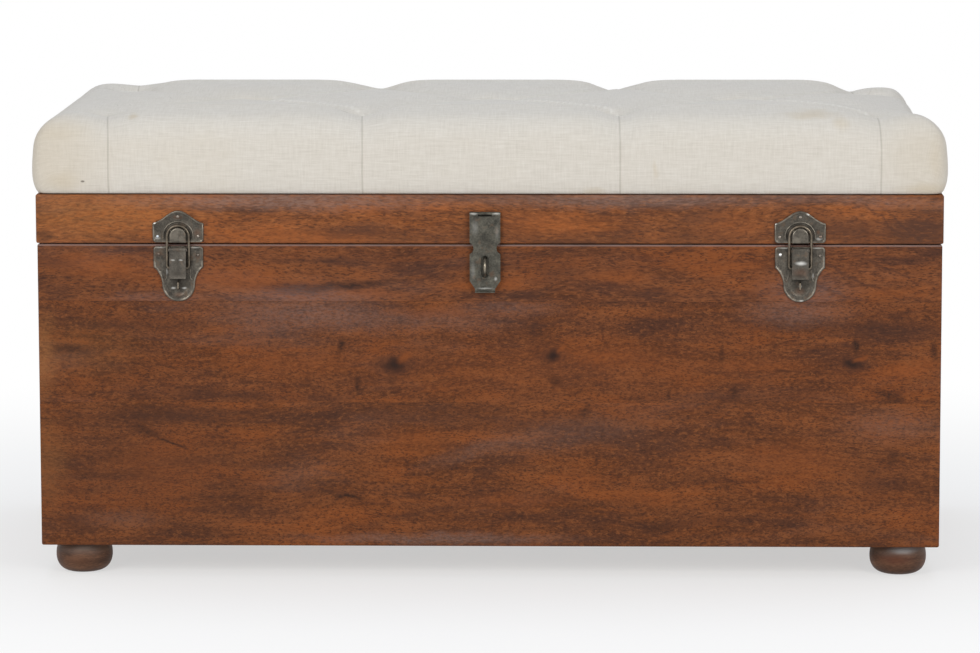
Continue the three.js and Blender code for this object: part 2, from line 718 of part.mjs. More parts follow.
/** Base plate on the chest: straight sides that sweep in to a round lobe, and two ears for the pin. */
function basePlate() {
  const top = -baseDrop;
  const lobeCentre = top - baseLength + baseLobeRadius;
  const waist = top - baseStraight;
  const outline = new THREE.Shape();
  const turn = [ogeeHalfWidth, waist - ogeeDrop];
  const sweep = [baseLobeRadius, waist - ogeeSweep];
  outline.moveTo(-baseHalfWidth, waist);
  outline.bezierCurveTo(-turn[0], turn[1], -sweep[0], sweep[1], -baseLobeRadius, lobeCentre);
  outline.absarc(0, lobeCentre, baseLobeRadius, Math.PI, 2 * Math.PI);
  outline.bezierCurveTo(...sweep, ...turn, baseHalfWidth, waist);
  outline.lineTo(baseHalfWidth, top - plateCorner);
  outline.absarc(baseHalfWidth - plateCorner, top - plateCorner, plateCorner, 0, Math.PI / 2);
  outline.lineTo(-baseHalfWidth + plateCorner, top);
  outline.absarc(-baseHalfWidth + plateCorner, top - plateCorner, plateCorner, Math.PI / 2, Math.PI);

  // Each ear runs out from its root on the plate and is tangent to the round eye of the pin.
  const root = glueLine + plateThickness / 2 - latchPivot.out;
  const tangent = (up, way) => Math.atan2(up, root) + way * Math.acos(earRadius / Math.hypot(root, up));
  const ear = new THREE.Shape();
  ear.moveTo(root, -earRootBottom);
  ear.absarc(0, 0, earRadius, tangent(-earRootBottom, 1), tangent(-earRootTop, -1));
  ear.lineTo(root, -earRootTop);
  const earSet = leverHalfWidth - leverWall - fitGap - earThickness / 2;
  const ears = [-1, 1].map((side) => acrossX(ear, earThickness)
    .translate(side * earSet, latchPivot.up, latchPivot.out));
  return cut(
    join(beadedPlate(outline).translate(0, 0, glueLine), ...ears),
    crossRod(latchPinRadius + turnGap, 2 * baseHalfWidth, [0, latchPivot.up, latchPivot.out]),
    ...legHoles(padlockEye),
  );
}

/** Lever: a channel with a stepped face and a turned-out lip, drawn round its pivot. */
function latchLever() {
  const face = knuckleRadius + leverStep;
  const mitre = leverWall / 3; // keeps the sheet's thickness round its bends
  const side = new THREE.Shape();
  side.absarc(0, 0, knuckleRadius, Math.PI, 0, true);
  side.lineTo(knuckleRadius, -leverStepTop);
  side.lineTo(face, -leverStepBottom);
  side.lineTo(face, -leverStraightEnd);
  side.lineTo(face + leverLip, -leverLength);
  side.lineTo(face + leverLip - leverWall, -leverLength - mitre);
  side.lineTo(face - leverWall, -leverStraightEnd - mitre);
  side.lineTo(bailPivotSet, -leverStraightEnd + cheekToeRise);
  side.lineTo(-knuckleRadius, -bailPivotDrop - cheekHeelDrop);
  const inside = new THREE.Shape();
  inside.moveTo(-2 * knuckleRadius, 2 * knuckleRadius);
  inside.lineTo(-2 * knuckleRadius, -leverLength);
  inside.lineTo(face - leverWall, -leverLength);
  inside.lineTo(face - leverWall, -leverStepBottom - mitre);
  inside.lineTo(knuckleRadius - leverWall, -leverStepTop - mitre);
  inside.lineTo(knuckleRadius - leverWall, 2 * knuckleRadius);
  return cut(
    acrossX(side, 2 * leverHalfWidth),
    acrossX(inside, 2 * (leverHalfWidth - leverWall)),
    crossRod(latchPinRadius + turnGap, 4 * leverHalfWidth),
    crossRod(bailWireRadius + turnGap, 4 * leverHalfWidth, [0, -bailPivotDrop, -bailPivotSet]),
  );
}

/** Bail: a wire hoop whose ends turn in through the lever's cheeks, drawn round its own pivot. */
function latchBail() {
  const crown = bailCrown - bailPivot.up - bailHalfSpan;
  const end = leverHalfWidth - leverWall - bailEndRun;
  const bendSet = bailHalfSpan - bailBend;
  const hoop = new THREE.Path();
  hoop.moveTo(-end, 0);
  hoop.lineTo(-bendSet, 0);
  hoop.absarc(-bendSet, bailBend, bailBend, 1.5 * Math.PI, Math.PI, true);
  hoop.lineTo(-bailHalfSpan, crown);
  hoop.absarc(0, crown, bailHalfSpan, Math.PI, 0, true);
  hoop.lineTo(bailHalfSpan, bailBend);
  hoop.absarc(bendSet, bailBend, bailBend, 0, -Math.PI / 2, true);
  hoop.lineTo(end, 0);
  return wire(hoop, bailWireRadius, bailSteps);
}

/** The pin through the ears and the lever's cheeks, headed at both ends. */
function latchPin() {
  const shoulder = leverHalfWidth + fitGap;
  const end = shoulder + latchPinHeadHeight;
  return turned([
    [0, -end],
    [latchPinHead, -end],
    [latchPinHead, -shoulder],
    [latchPinRadius, -shoulder],
    [latchPinRadius, shoulder],
    [latchPinHead, shoulder],
    [latchPinHead, end],
    [0, end],
  ]).rotateY(Math.PI / 2);
}

/** A wire staple, its legs pointing into the wood, drawn as (outward, up) about its own middle. */
function wireStaple({ radius, halfSpan, corner, proud, buried }) {
  const crown = proud - radius;
  const path = new THREE.Path();
  path.moveTo(-buried, halfSpan);
  path.lineTo(crown - corner, halfSpan);
  path.absarc(crown - corner, halfSpan - corner, corner, Math.PI / 2, 0, true);
  if (halfSpan > corner) path.lineTo(crown, corner - halfSpan);
  path.absarc(crown - corner, corner - halfSpan, corner, 0, -Math.PI / 2, true);
  path.lineTo(-buried, -halfSpan);
  return wire(path, radius, stapleSteps).rotateY(-Math.PI / 2);
}

/** The holes drilled for a staple's two legs, one above the other, in the face frame. */
function legHoles({ radius, halfSpan, middle, buried }, x = 0) {
  const bore = radius + fitGap;
  return [-1, 1].map((side) => new THREE.CylinderGeometry(bore, bore, 2 * (buried + fitGap), roundSides)
    .rotateX(Math.PI / 2)
    .translate(x, middle + side * halfSpan, 0));
}

function buildLatches(frontOfChest, frontOfLid) {
  for (const [name, side] of [['left', -1], ['right', 1]]) {
    const x = side * latchOffset;
    const onLid = addGroup(frontOfLid, x, 0, 0);
    const onChest = addGroup(frontOfChest, x, 0, 0);
    addPart(onLid, `${name}_latch_catch`, catchPlate(), agedIron);
    addPart(onChest, `${name}_latch_base`, basePlate(), agedIron);
    addPart(onChest, `${name}_latch_pin`, latchPin(), agedIron)
      .position.set(0, latchPivot.up, latchPivot.out);
    addPart(onChest, `${name}_latch_lever`, latchLever(), agedIron)
      .position.set(0, latchPivot.up, latchPivot.out);
    addPart(onChest, `${name}_latch_bail`, latchBail(), agedIron)
      .position.set(0, bailPivot.up, bailPivot.out);
    addPart(onChest, `${name}_latch_eye`, wireStaple(padlockEye), agedIron)
      .position.set(0, padlockEye.middle, 0);
  }
}

// ---------------------------------------------------------------- hasp

const haspAxis = { up: haspBarrelRise, out: lidFaceSet + haspBarrelRadius };
const strapBack = haspAxis.out + haspBarrelRadius - haspSheet;
const haspStaple = {
  radius: stapleWireRadius,
  halfSpan: stapleHalfSpan,
  corner: stapleHalfSpan,
  proud: strapBack + haspSheet + padlockGap + 2 * stapleWireRadius,
  buried: stapleBuried,
  middle: haspBarrelRise - haspSlotDrop,
};

/** The strap: a waisted sheet with a slot, two knuckles at the top and a curled lip at the tip. */
function haspStrap() {
  const notch = (shape, side) => {
    const reach = Math.sqrt(haspWaistRadius ** 2 - (haspWaistRadius - haspWaistDepth) ** 2);
    const swing = Math.asin(reach / haspWaistRadius);
    const centre = side * (haspHalfWidth + haspWaistRadius - haspWaistDepth);
    if (side > 0) {
      shape.absarc(centre, -haspWaistDrop, haspWaistRadius, Math.PI + swing, Math.PI - swing, true);
    } else {
      shape.absarc(centre, -haspWaistDrop, haspWaistRadius, swing, -swing, true);
    }
  };
  const tip = -haspStraight - haspTaper;
  const outline = new THREE.Shape();
  outline.moveTo(-haspTipHalfWidth, tip);
  outline.lineTo(haspTipHalfWidth, tip);
  outline.lineTo(haspHalfWidth, -haspStraight);
  notch(outline, 1);
  outline.lineTo(haspHalfWidth, 0);
  outline.lineTo(-haspHalfWidth, 0);
  notch(outline, -1);
  outline.lineTo(-haspHalfWidth, -haspStraight);
  const slot = new THREE.Path();
  const slotRun = haspSlotHalfHeight - haspSlotHalfWidth;
  slot.absarc(0, -haspSlotDrop + slotRun, haspSlotHalfWidth, 0, Math.PI);
  slot.absarc(0, -haspSlotDrop - slotRun, haspSlotHalfWidth, Math.PI, 2 * Math.PI);
  outline.holes.push(slot);
  const sheet = extruded(outline, haspSheet).translate(0, 0, haspBarrelRadius - haspSheet);
  const barrel = crossRod(haspBarrelRadius, 2 * haspHalfWidth);
  const middle = haspMiddleKnuckle / 2 + turnGap;
  const room = haspBarrelRadius + fitGap;
  const bore = crossRod(haspPinRadius + turnGap, 4 * haspHalfWidth);

  const lipCentre = haspBarrelRadius + haspLipRadius;
  const lip = new THREE.Shape();
  lip.absarc(lipCentre, 0, haspLipRadius, Math.PI, 1.5 * Math.PI);
  lip.absarc(lipCentre, 0, haspLipRadius + haspSheet, 1.5 * Math.PI, Math.PI, true);
  return cut(
    join(sheet, barrel, acrossX(lip, 2 * haspTipHalfWidth).translate(0, tip, 0)),
    block([-middle, -room, -2 * room], [middle, room, 2 * room]),
    bore,
  );
}

/** The fixed leaf on the lid: a sheet behind the strap with the middle knuckle. */
function haspLeaf() {
  const sheet = extruded(rectangle(-leafHalfWidth, -leafLength, leafHalfWidth, 0), haspSheet)
    .translate(0, 0, -haspBarrelRadius);
  const barrel = crossRod(haspBarrelRadius, haspMiddleKnuckle);
  const room = haspBarrelRadius + fitGap;
  const outer = 4 * haspHalfWidth;
  const inner = haspMiddleKnuckle / 2;
  return cut(
    join(sheet, barrel),
    block([inner, -room, -2 * room], [outer, room, 2 * room]),
    block([-outer, -room, -2 * room], [-inner, room, 2 * room]),
    crossRod(haspPinRadius + turnGap, outer),
  );
}

/** The round-ended plate that the staple's legs pass through. */
function staplePlate() {
  const run = staplePlateHalfHeight - staplePlateHalfWidth;
  const outline = new THREE.Shape();
  outline.absarc(0, haspStaple.middle + run, staplePlateHalfWidth, 0, Math.PI);
  outline.absarc(0, haspStaple.middle - run, staplePlateHalfWidth, Math.PI, 2 * Math.PI);
  return cut(extruded(outline, haspSheet).translate(0, 0, glueLine), ...legHoles(haspStaple));
}

function buildHasp(frontOfChest, frontOfLid) {
  const onLid = addGroup(frontOfLid, haspOffset, haspAxis.up, haspAxis.out);
  addPart(onLid, 'hasp_leaf', haspLeaf(), agedIron);
  addPart(onLid, 'hasp_pin', crossRod(haspPinRadius, 2 * haspHalfWidth), agedIron);
  addPart(onLid, 'hasp_strap', haspStrap(), agedIron);
  const onChest = addGroup(frontOfChest, haspOffset, 0, 0);
  addPart(onChest, 'hasp_staple_plate', staplePlate(), agedIron);
  addPart(onChest, 'hasp_staple', wireStaple(haspStaple), agedIron)
    .position.set(0, haspStaple.middle, 0);
}

// ---------------------------------------------------------------- butt hinges

const hingeOut = glueLine + hingeBarrelRadius;

/** One leaf with its knuckles, drawn about the pin: up is +1 for the lid's leaf, -1 for the chest's. */
function hingeLeaf(up) {
  const knuckleLength = hingeLength / hingeKnuckles;
  const room = hingeBarrelRadius + fitGap;
  const [y0, y1] = [0, up * hingeLeafHeight].sort((a, b) => a - b);
  const sheet = extruded(rectangle(-hingeLength / 2, y0, hingeLength / 2, y1), hingeLeafThickness)
    .translate(0, 0, -hingeBarrelRadius);
  const barrel = crossRod(hingeBarrelRadius, hingeLength);
  const slots = [];
  for (let i = 0; i < hingeKnuckles; i += 1) {
    const owner = i % 2 === 0 ? -1 : 1;
    if (owner !== up) {
      const start = i * knuckleLength - hingeLength / 2;
      slots.push(block(
        [start - turnGap, -room, -2 * room],
        [start + knuckleLength + turnGap, room, 2 * room],
      ));
    }
  }
  return cut(
    join(sheet, barrel),
    ...slots,
    crossRod(hingePinRadius + turnGap, 2 * hingeLength),
  );
}

function buildHinges(backOfChest, backOfLid) {
  // Seen from behind, the bench's right side is on the left.
  for (const [name, side] of [['left', 1], ['right', -1]]) {
    const x = side * hingeOffset;
    const onChest = addGroup(backOfChest, x, 0, hingeOut);
    const onLid = addGroup(backOfLid, x, 0, hingeOut);
    addPart(onChest, `${name}_hinge_chest_leaf`, hingeLeaf(-1), zincSteel);
    addPart(onLid, `${name}_hinge_lid_leaf`, hingeLeaf(1), zincSteel);
    addPart(onChest, `${name}_hinge_pin`, crossRod(hingePinRadius, hingeLength), zincSteel);
  }
}

// ---------------------------------------------------------------- sliding lid stay

// Both screws lie at the same distance from the hinge axis, so the bar always turns half as far
// as the lid does.
const hingeAxis = { y: backFace + hingeOut, z: seamHeight };
const stayGuide = stayPoint(-stayGuideDrop, innerHalfWidth);
const stayPivot = stayPoint(stayPivotRise, lidInnerHalfWidth);

/** A point at the stay's reach from the hinge axis, on the inner face of the side. */
function stayPoint(rise, x) {
  return { x, y: hingeAxis.y - Math.sqrt(stayReach ** 2 - rise ** 2), z: hingeAxis.z + rise };
}

function stayScrewHole({ x, y, z }) {
  return crossRod(stayScrewRadius + fitGap, 2 * (stayScrewLength + fitGap), [x, y, z]);
}

/** A shouldered screw that points to the right, its head towards the inside, drawn from the wood's face. */
function stayScrew(gapToBar) {
  const barFar = gapToBar + stayBarThickness + turnGap;
  return turned([
    [0, -stayScrewLength],
    [stayScrewRadius, -stayScrewLength],
    [stayScrewRadius, glueLine],
    [stayHeadRadius, glueLine],
    [stayHeadRadius, gapToBar - turnGap],
    [stayScrewRadius, gapToBar - turnGap],
    [stayScrewRadius, barFar],
    [stayHeadRadius, barFar],
    [stayHeadRadius, barFar + stayHeadHeight / 2],
    [stayHeadRadius / 2, barFar + stayHeadHeight],
    [0, barFar + stayHeadHeight],
  ]).rotateY(-Math.PI / 2);
}

function buildStay(bench) {
  const restAngle = Math.asin(stayGuideDrop / stayReach) + Math.asin(stayPivotRise / stayReach);
  const openAngle = restAngle + THREE.MathUtils.degToRad(lidOpening);
  const between = (angle) => 2 * stayReach * Math.sin(angle / 2);
  const slotStart = between(restAngle) - stayRunOut;
  const slotEnd = between(openAngle) + stayRunOut;
  const half = stayBarWidth / 2;
  const holeRadius = stayScrewRadius + turnGap;

  // Drawn hanging straight down from the lid screw.
  const bar = new THREE.Shape();
  bar.absarc(0, 0, half, 0, Math.PI);
  bar.absarc(0, -slotEnd, half, Math.PI, 2 * Math.PI);
  bar.holes.push(new THREE.Path().absarc(0, 0, holeRadius, 0, 2 * Math.PI, true));
  const slot = new THREE.Path();
  slot.absarc(0, -slotStart - holeRadius, holeRadius, 0, Math.PI);
  slot.absarc(0, -slotEnd + holeRadius, holeRadius, Math.PI, 2 * Math.PI);
  bar.holes.push(slot);

  // The bar's nearer face keeps one distance from the chest's side, whatever the lid overhangs.
  const barFace = innerHalfWidth - stayWasher;
  const lean = Math.atan2(stayGuide.y - stayPivot.y, stayPivot.z - stayGuide.z);
  const stay = addPart(bench, 'lid_stay_bar', acrossX(bar, stayBarThickness), zincSteel);
  stay.position.set(barFace - stayBarThickness / 2, stayPivot.y, stayPivot.z);
  stay.rotation.x = Math.PI / 2 + lean; // stood up from the XY plane, then leaned

  for (const [name, place] of [['guide', stayGuide], ['lid', stayPivot]]) {
    addPart(bench, `lid_stay_${name}_screw`, stayScrew(place.x - barFace), zincSteel)
      .position.set(place.x, place.y, place.z);
  }
}

// ---------------------------------------------------------------- the bench

/** A face frame on the front of the chest or the lid, seamRise above its group's origin. */
function addFrontFace(parent, seamRise) {
  const face = addGroup(parent, 0, frontFace, seamRise);
  face.rotation.x = Math.PI / 2;
  return face;
}

/** The same on the back, where x runs to the left of the bench. */
function addBackFace(parent, seamRise) {
  const face = addGroup(parent, 0, backFace, seamRise);
  face.rotation.set(Math.PI / 2, Math.PI, 0);
  return face;
}

const bench = new THREE.Group();
const chest = addGroup(bench, 0, 0, footHeight);
const lid = addGroup(bench, 0, 0, lidBase);
const seamOverChest = seamHeight - footHeight;
const seamOverLid = seamHeight - lidBase;

buildChest(chest);
buildFeet(bench);
buildLidFrame(lid);
buildCushion(lid);
buildLatches(addFrontFace(chest, seamOverChest), addFrontFace(lid, seamOverLid));
buildHasp(addFrontFace(chest, seamOverChest), addFrontFace(lid, seamOverLid));
buildHinges(addBackFace(chest, seamOverChest), addBackFace(lid, seamOverLid));
buildStay(bench);

// Stand the bench on the floor, centred over the origin.
const extent = new THREE.Box3().setFromObject(bench, true);
const middle = extent.getCenter(new THREE.Vector3());
bench.position.set(-middle.x, -middle.y, -extent.min.z);

export default bench;
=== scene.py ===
import math

import bmesh
import bpy
from mathutils import Matrix, Vector, geometry


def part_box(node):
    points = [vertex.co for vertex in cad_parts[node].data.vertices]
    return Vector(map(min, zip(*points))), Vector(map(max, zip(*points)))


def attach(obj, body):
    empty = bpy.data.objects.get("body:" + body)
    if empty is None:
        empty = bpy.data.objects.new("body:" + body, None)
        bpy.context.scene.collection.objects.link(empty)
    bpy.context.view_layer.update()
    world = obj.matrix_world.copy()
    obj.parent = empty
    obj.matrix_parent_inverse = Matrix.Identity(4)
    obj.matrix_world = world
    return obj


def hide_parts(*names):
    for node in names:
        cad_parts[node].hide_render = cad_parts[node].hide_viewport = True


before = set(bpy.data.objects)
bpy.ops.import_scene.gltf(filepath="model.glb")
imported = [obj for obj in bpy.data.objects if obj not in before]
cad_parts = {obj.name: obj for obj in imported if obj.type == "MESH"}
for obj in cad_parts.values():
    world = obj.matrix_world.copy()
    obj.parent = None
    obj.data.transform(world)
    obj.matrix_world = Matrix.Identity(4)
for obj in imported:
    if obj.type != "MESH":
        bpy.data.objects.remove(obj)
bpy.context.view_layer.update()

# ================================================================ chest walls
# The front is glued up from three pine boards, the back is one panel, and the side panels sit in
# rebates. All are stained red-brown and rubbed to a dull satin, with the pores left open. The
# stain takes darker round knots and lighter where hands and cloths have worn the corners. Hazy
# patches of sheen and a highlight along the front's top edge are painted into the colour.


class Signal:
    """One output in a finish's node tree. Arithmetic on it adds Math nodes."""

    def __init__(self, finish, socket):
        self.finish, self.socket = finish, socket

    def maths(self, operation, *values):
        return self.finish.node("Math", {"operation": operation}, dict(enumerate(values)))

    def __add__(self, other):
        return self.maths("ADD", self, other)

    def __sub__(self, other):
        return self.maths("SUBTRACT", self, other)

    def __rsub__(self, other):
        return self.maths("SUBTRACT", other, self)

    def __mul__(self, other):
        return self.maths("MULTIPLY", self, other)

    __radd__, __rmul__ = __add__, __mul__

    def __abs__(self):
        return self.maths("ABSOLUTE", self)

    def over(self, other):
        return self.maths("MAXIMUM", self, other)


class Finish:
    """A material as it is laid on: its surface, and the nodes that vary it."""

    def __init__(self, name, surface=None, made_for=None):
        self.material = made_for or bpy.data.materials.new(name)
        self.material.use_nodes = True
        self.tree = self.material.node_tree
        self.last = next(node for node in self.tree.nodes if "OUTPUT" in node.type)
        self.surface = self.last.inputs["Surface"].links[0].from_node
        self.feed(self.surface, surface or {})

    def feed(self, node, sockets):
        for socket, value in sockets.items():
            if isinstance(value, Signal):
                self.tree.links.new(value.socket, node.inputs[socket])
            else:
                node.inputs[socket].default_value = value

    def node(self, kind, settings=None, sockets=None, output=0):
        made = self.tree.nodes.new("ShaderNode" + kind)
        for setting, value in (settings or {}).items():
            if setting == "stops":
                stops = made.color_ramp.elements
                while len(stops) < len(value):
                    stops.new(1)
                for stop, (position, colour) in zip(stops, value):
                    stop.position, stop.color = position, (*colour, 1)
            else:
                setattr(made, setting, value)
        self.feed(made, sockets or {})
        return Signal(self, made.outputs[output])

    def place(self, scale=(1, 1, 1), move=(0, 0, 0), turn=(0, 0, 0), of=None, kind="POINT"):
        """The piece's own coordinates, or another vector, stretched, turned and moved."""
        of = of or self.node("TexCoord", output="Object")
        sockets = {"Vector": of, "Location": move, "Rotation": turn, "Scale": scale}
        return self.node("Mapping", {"vector_type": kind}, sockets)

    def stored(self, name, kind="Fac"):
        """What one of the mesh's own layers says."""
        return self.node("Attribute", {"attribute_name": name}, {}, kind)

    def vector(self, operation, *values, output=0, **named):
        sockets = {**dict(enumerate(values)), **named}
        return self.node("VectorMath", {"operation": operation}, sockets, output)

    def along(self, axis, of=None):
        """How far along one axis a point lies."""
        return self.node("SeparateXYZ", {}, {0: of or self.place()}, axis)

    def noise(self, scale, detail=2, roughness=0.5, move=(0, 0, 0), of=None):
        """Cloudy patches over the piece's own coordinates, or another vector."""
        sockets = {"Vector": self.place(scale, move, of=of), "Scale": 1}
        return self.node("TexNoise", {}, {**sockets, "Detail": detail, "Roughness": roughness})

    def wander(self, place, scale, amount):
        """The same coordinates, pushed about by a slow noise."""
        push = self.node("TexNoise", {}, {"Vector": place, "Scale": scale}, "Color")
        return self.vector("MULTIPLY_ADD", push, amount, place)

    def between(self, value, low, high, bottom=0, top=1):
        """Eases from bottom to top as the value goes from low to high."""
        ends = {"From Min": low, "From Max": high, "To Min": bottom, "To Max": top}
        kind = {"interpolation_type": "SMOOTHSTEP"}
        return self.node("MapRange", kind, {"Value": value, **ends})

    def shades(self, value, stops):
        return self.node("ValToRGB", {"stops": stops}, {"Fac": value})

    def mix(self, factor, under, over, blend="MIX"):
        under, over = [c if isinstance(c, Signal) else (*c, 1) for c in (under, over)]
        kind = {"data_type": "RGBA", "blend_type": blend}
        return self.node("Mix", kind, {0: factor, 6: under, 7: over}, 2)

    def spot(self, place, centre, size, turn=(0, 0, 0)):
        """How far a point lies from a soft oval's middle, with 1 on its edge."""
        local = self.place(size, centre, turn, place, "TEXTURE")
        return self.vector("LENGTH", local, output="Value")

    def bump(self, height, depth, strength=1):
        sockets = {"Height": height, "Distance": depth, "Strength": strength}
        self.feed(self.surface, {"Normal": self.node("Bump", {}, sockets)})

    def marked(self, colour, marks, ragged, taken=1):
        """Lays soft ovals over a colour. `marks` are (tint, ovals), and each oval is (x, z, half
        width, half height) in millimetres, per cent, and its turn in degrees if it has one.
        `taken` is how well the surface takes them, point by point."""
        for tint, ovals in marks:
            for x, z, half_width, half_height, strength, *turn in ovals:
                size = (half_width / 1000, 10, half_height / 1000)
                turned_by = (0, math.radians(sum(turn)), 0)
                far = self.spot(ragged, (x / 1000, 0, z / 1000), size, turned_by)
                laid = self.between(far, 0.1, 1.3, strength / 100, 0)
                colour = self.mix(laid * taken, colour, tint)
        return colour

    def done(self, **surface):
        self.feed(self.surface, {socket.replace("_", " "): v for socket, v in surface.items()})
        return self.material


# Dark knot and smoke stain, and a violet-grey painted sheen for hazy reflections on the satin.
DARK_KNOT, SMOKE, PAINTED_SHEEN = (0.028, 0.014, 0.010), (0.055, 0.025, 0.017), (0.175, 0.120, 0.108)
GLOW, HONEY = (0.250, 0.074, 0.019), (0.260, 0.112, 0.040)
DRIFT = (13, 8)  # how far a mark's ragged edge drifts off it, in millimetres
HIGHLIGHT_FROM, HIGHLIGHT_FULL = 0.0022, 0.0006  # how far below its top the painted edge highlight starts and is palest


def moved(marks, right, up):
    """The same marks, so many millimetres over."""
    return [
        (tint, [(x + right, z + up, *rest) for x, z, *rest in ovals]) for tint, ovals in marks
    ]


def stained_pine(
    name, seed, tone=(1, 1, 1), along="X", slip=1.0, marks=(), knots=(), highlit_top=None
):
    """Stained pine. `slip` is how long its fibres look. `marks` are soft ovals of stain, glow and
    painted sheen. `knots` are ovals that bend the grain round them. `highlit_top` is the height of
    an upper edge with a pale highlight painted along it."""
    wood = Finish(name, {"Specular IOR Level": 0.10, "Coat Roughness": 0.42, "Coat IOR": 1.4})
    here = bent = wood.place()
    for x, z, half_width, half_height, _ in knots:
        centre = (x / 1000, 0, z / 1000)
        wide = wood.spot(here, centre, (0.0034 * half_width, 10, 0.0036 * half_height))
        away = wood.vector("SUBTRACT", here, centre)
        shift = wood.vector("SCALE", away, Scale=wood.between(wide, 0, 1, -0.7, 0))
        bent = wood.vector("MULTIPLY_ADD", shift, (0, 0, 1), bent)

    quarter = math.pi / 2 if along == "Y" else 0
    grain = wood.place((1, 1, 1), (seed, 1.7 * seed, 0.6 * seed), (0, 0, quarter), bent)
    grain = wood.wander(grain, 3.2, (0, 0.045, 0.045))
    figure = wood.noise((2.2, 13, 13), 4, 0.55, of=grain)
    mottle = wood.noise((15, 44, 44), 3, 0.6, (2, 5, 8), grain)
    streak = wood.noise((9 / slip, 150, 150), 3, 0.6, of=grain)
    fibre = wood.noise((230 / slip, 560, 560), 3, 0.65, of=grain)
    pore = wood.noise((330 / slip, 900, 900), 1, 0.5, (3, 1, 2), grain)
    ribbon = wood.noise((55, 6, 6), 2, 0.5, (9, 4, 1), grain)

    depth = figure * 0.26 + mottle * 0.22 + streak * 0.14 + fibre * 0.30 + ribbon * 0.08
    colour = wood.shades(depth, [
        (0.385, (0.070, 0.0250, 0.0100)),
        (0.455, (0.113, 0.0395, 0.0150)),
        (0.520, (0.156, 0.0545, 0.0205)),
        (0.600, (0.218, 0.0770, 0.0280)),
    ])
    clouds = wood.noise((6, 24, 24), 4, 0.65, (seed, 4, 4), grain)
    bands = wood.noise((14 / slip, 120, 120), 4, 0.6, (6, 2, 5), grain)
    flecks = wood.noise((190 / slip, 380, 380), 3, 0.65, (5, 7, 3), grain)
    for patches, low, high, most, tint in (
        (clouds, 0.50, 0.66, 0.60, GLOW),
        (clouds, 0.50, 0.34, 0.66, SMOKE),
        (bands, 0.50, 0.68, 0.38, (0.245, 0.076, 0.020)),
        (bands, 0.50, 0.34, 0.40, (0.058, 0.024, 0.015)),
        (flecks, 0.52, 0.68, 0.52, (0.250, 0.092, 0.032)),
        (flecks, 0.48, 0.33, 0.52, (0.044, 0.018, 0.012)),
        (pore, 0.53, 0.68, 0.65, (0.040, 0.018, 0.012)),
    ):
        colour = wood.mix(wood.between(patches, low, high, 0, most), colour, tint)

    ragged = wood.wander(wood.wander(here, 26, (0.018, 0, 0.010)), 90, (0.008, 0, 0.006))
    # Hazy patches of painted sheen, stronger over the fibres; the same patches take a little more
    # coat.
    sheen_patches = wood.between(wood.noise((4, 4, 15), 4, 0.6, (seed, 2, 1)), 0.52, 0.74)
    colour = wood.mix(sheen_patches * (0.03 + 0.25 * fibre), colour, PAINTED_SHEEN)
    taken = wood.between(fibre, 0.40, 0.60, 0.60, 1.20)
    colour = wood.marked(colour, moved(marks, *DRIFT), ragged, taken)
    for x, z, wide, tall, strength in knots:
        colour = wood.marked(colour, moved([
            (SMOKE, [(x, z, 2.2 * wide, 1.9 * tall, 0.60 * strength)]),
            (DARK_KNOT, [(x, z, wide, tall, min(1.25 * strength, 100))]),
            (GLOW, [(x + 9, z + 7, 0.9 * wide, 0.5 * tall, 55, -30)]),
        ], *DRIFT), ragged)
    if highlit_top:
        # A pale highlight painted along the eased top edge, where it catches the light.
        edge_highlight = wood.between(wood.along("Z", here), highlit_top - HIGHLIGHT_FROM, highlit_top - HIGHLIGHT_FULL)
        colour = wood.mix(edge_highlight * (0.30 + 0.60 * mottle), colour, (0.330, 0.250, 0.225))
    colour = wood.mix(1, colour, tone, "MULTIPLY")
    wood.bump(fibre * 0.6 + pore * -0.5 + streak * 0.4, 0.0004, 0.5)
    return wood.done(
        Base_Color=colour,
        Roughness=0.40 + 0.22 * fibre + 0.10 * figure,
        Coat_Weight=0.02 + 0.08 * sheen_patches,
    )


def placed(name, data):
    """Puts something in the scene."""
    thing = bpy.data.objects.new(name, data)
    bpy.context.scene.collection.objects.link(thing)
    return thing


def finished(bm, name, body, finish, stands_for=(), crease=34):
    """Makes a shown piece of a bmesh: smooth up to the crease angle, and on its body."""
    sharp = math.radians(crease)
    for face in bm.faces:
        face.smooth = True
    for edge in bm.edges:
        edge.smooth = edge.calc_face_angle(math.pi) < sharp
    mesh = bpy.data.meshes.new(name)
    bm.to_mesh(mesh)
    bm.free()
    mesh.materials.append(finish)
    piece = placed(name, mesh)
    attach(piece, body)
    if stands_for:
        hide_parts(*stands_for)
    return piece


def middle_of(node):
    low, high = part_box(node)
    return Vector(((low.x + high.x) / 2, (low.y + high.y) / 2, (low.z + high.z) / 2))


def merged_copy(node):
    """A solid's loose triangles, merged into whole flat faces."""
    bm = bmesh.new()
    bm.from_mesh(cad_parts[node].data)
    bmesh.ops.remove_doubles(bm, verts=bm.verts, dist=1e-6)
    bmesh.ops.dissolve_limit(bm, angle_limit=math.radians(0.5), verts=bm.verts, edges=bm.edges)
    return bm


def board(node, body, finish):
    """A stained board as it was sawn, with the light running softly over its eased edges."""
    piece = finished(merged_copy(node), f"{node}_wood", body, finish, [node])
    piece.modifiers.new("flat_faces", "WEIGHTED_NORMAL").keep_sharp = True


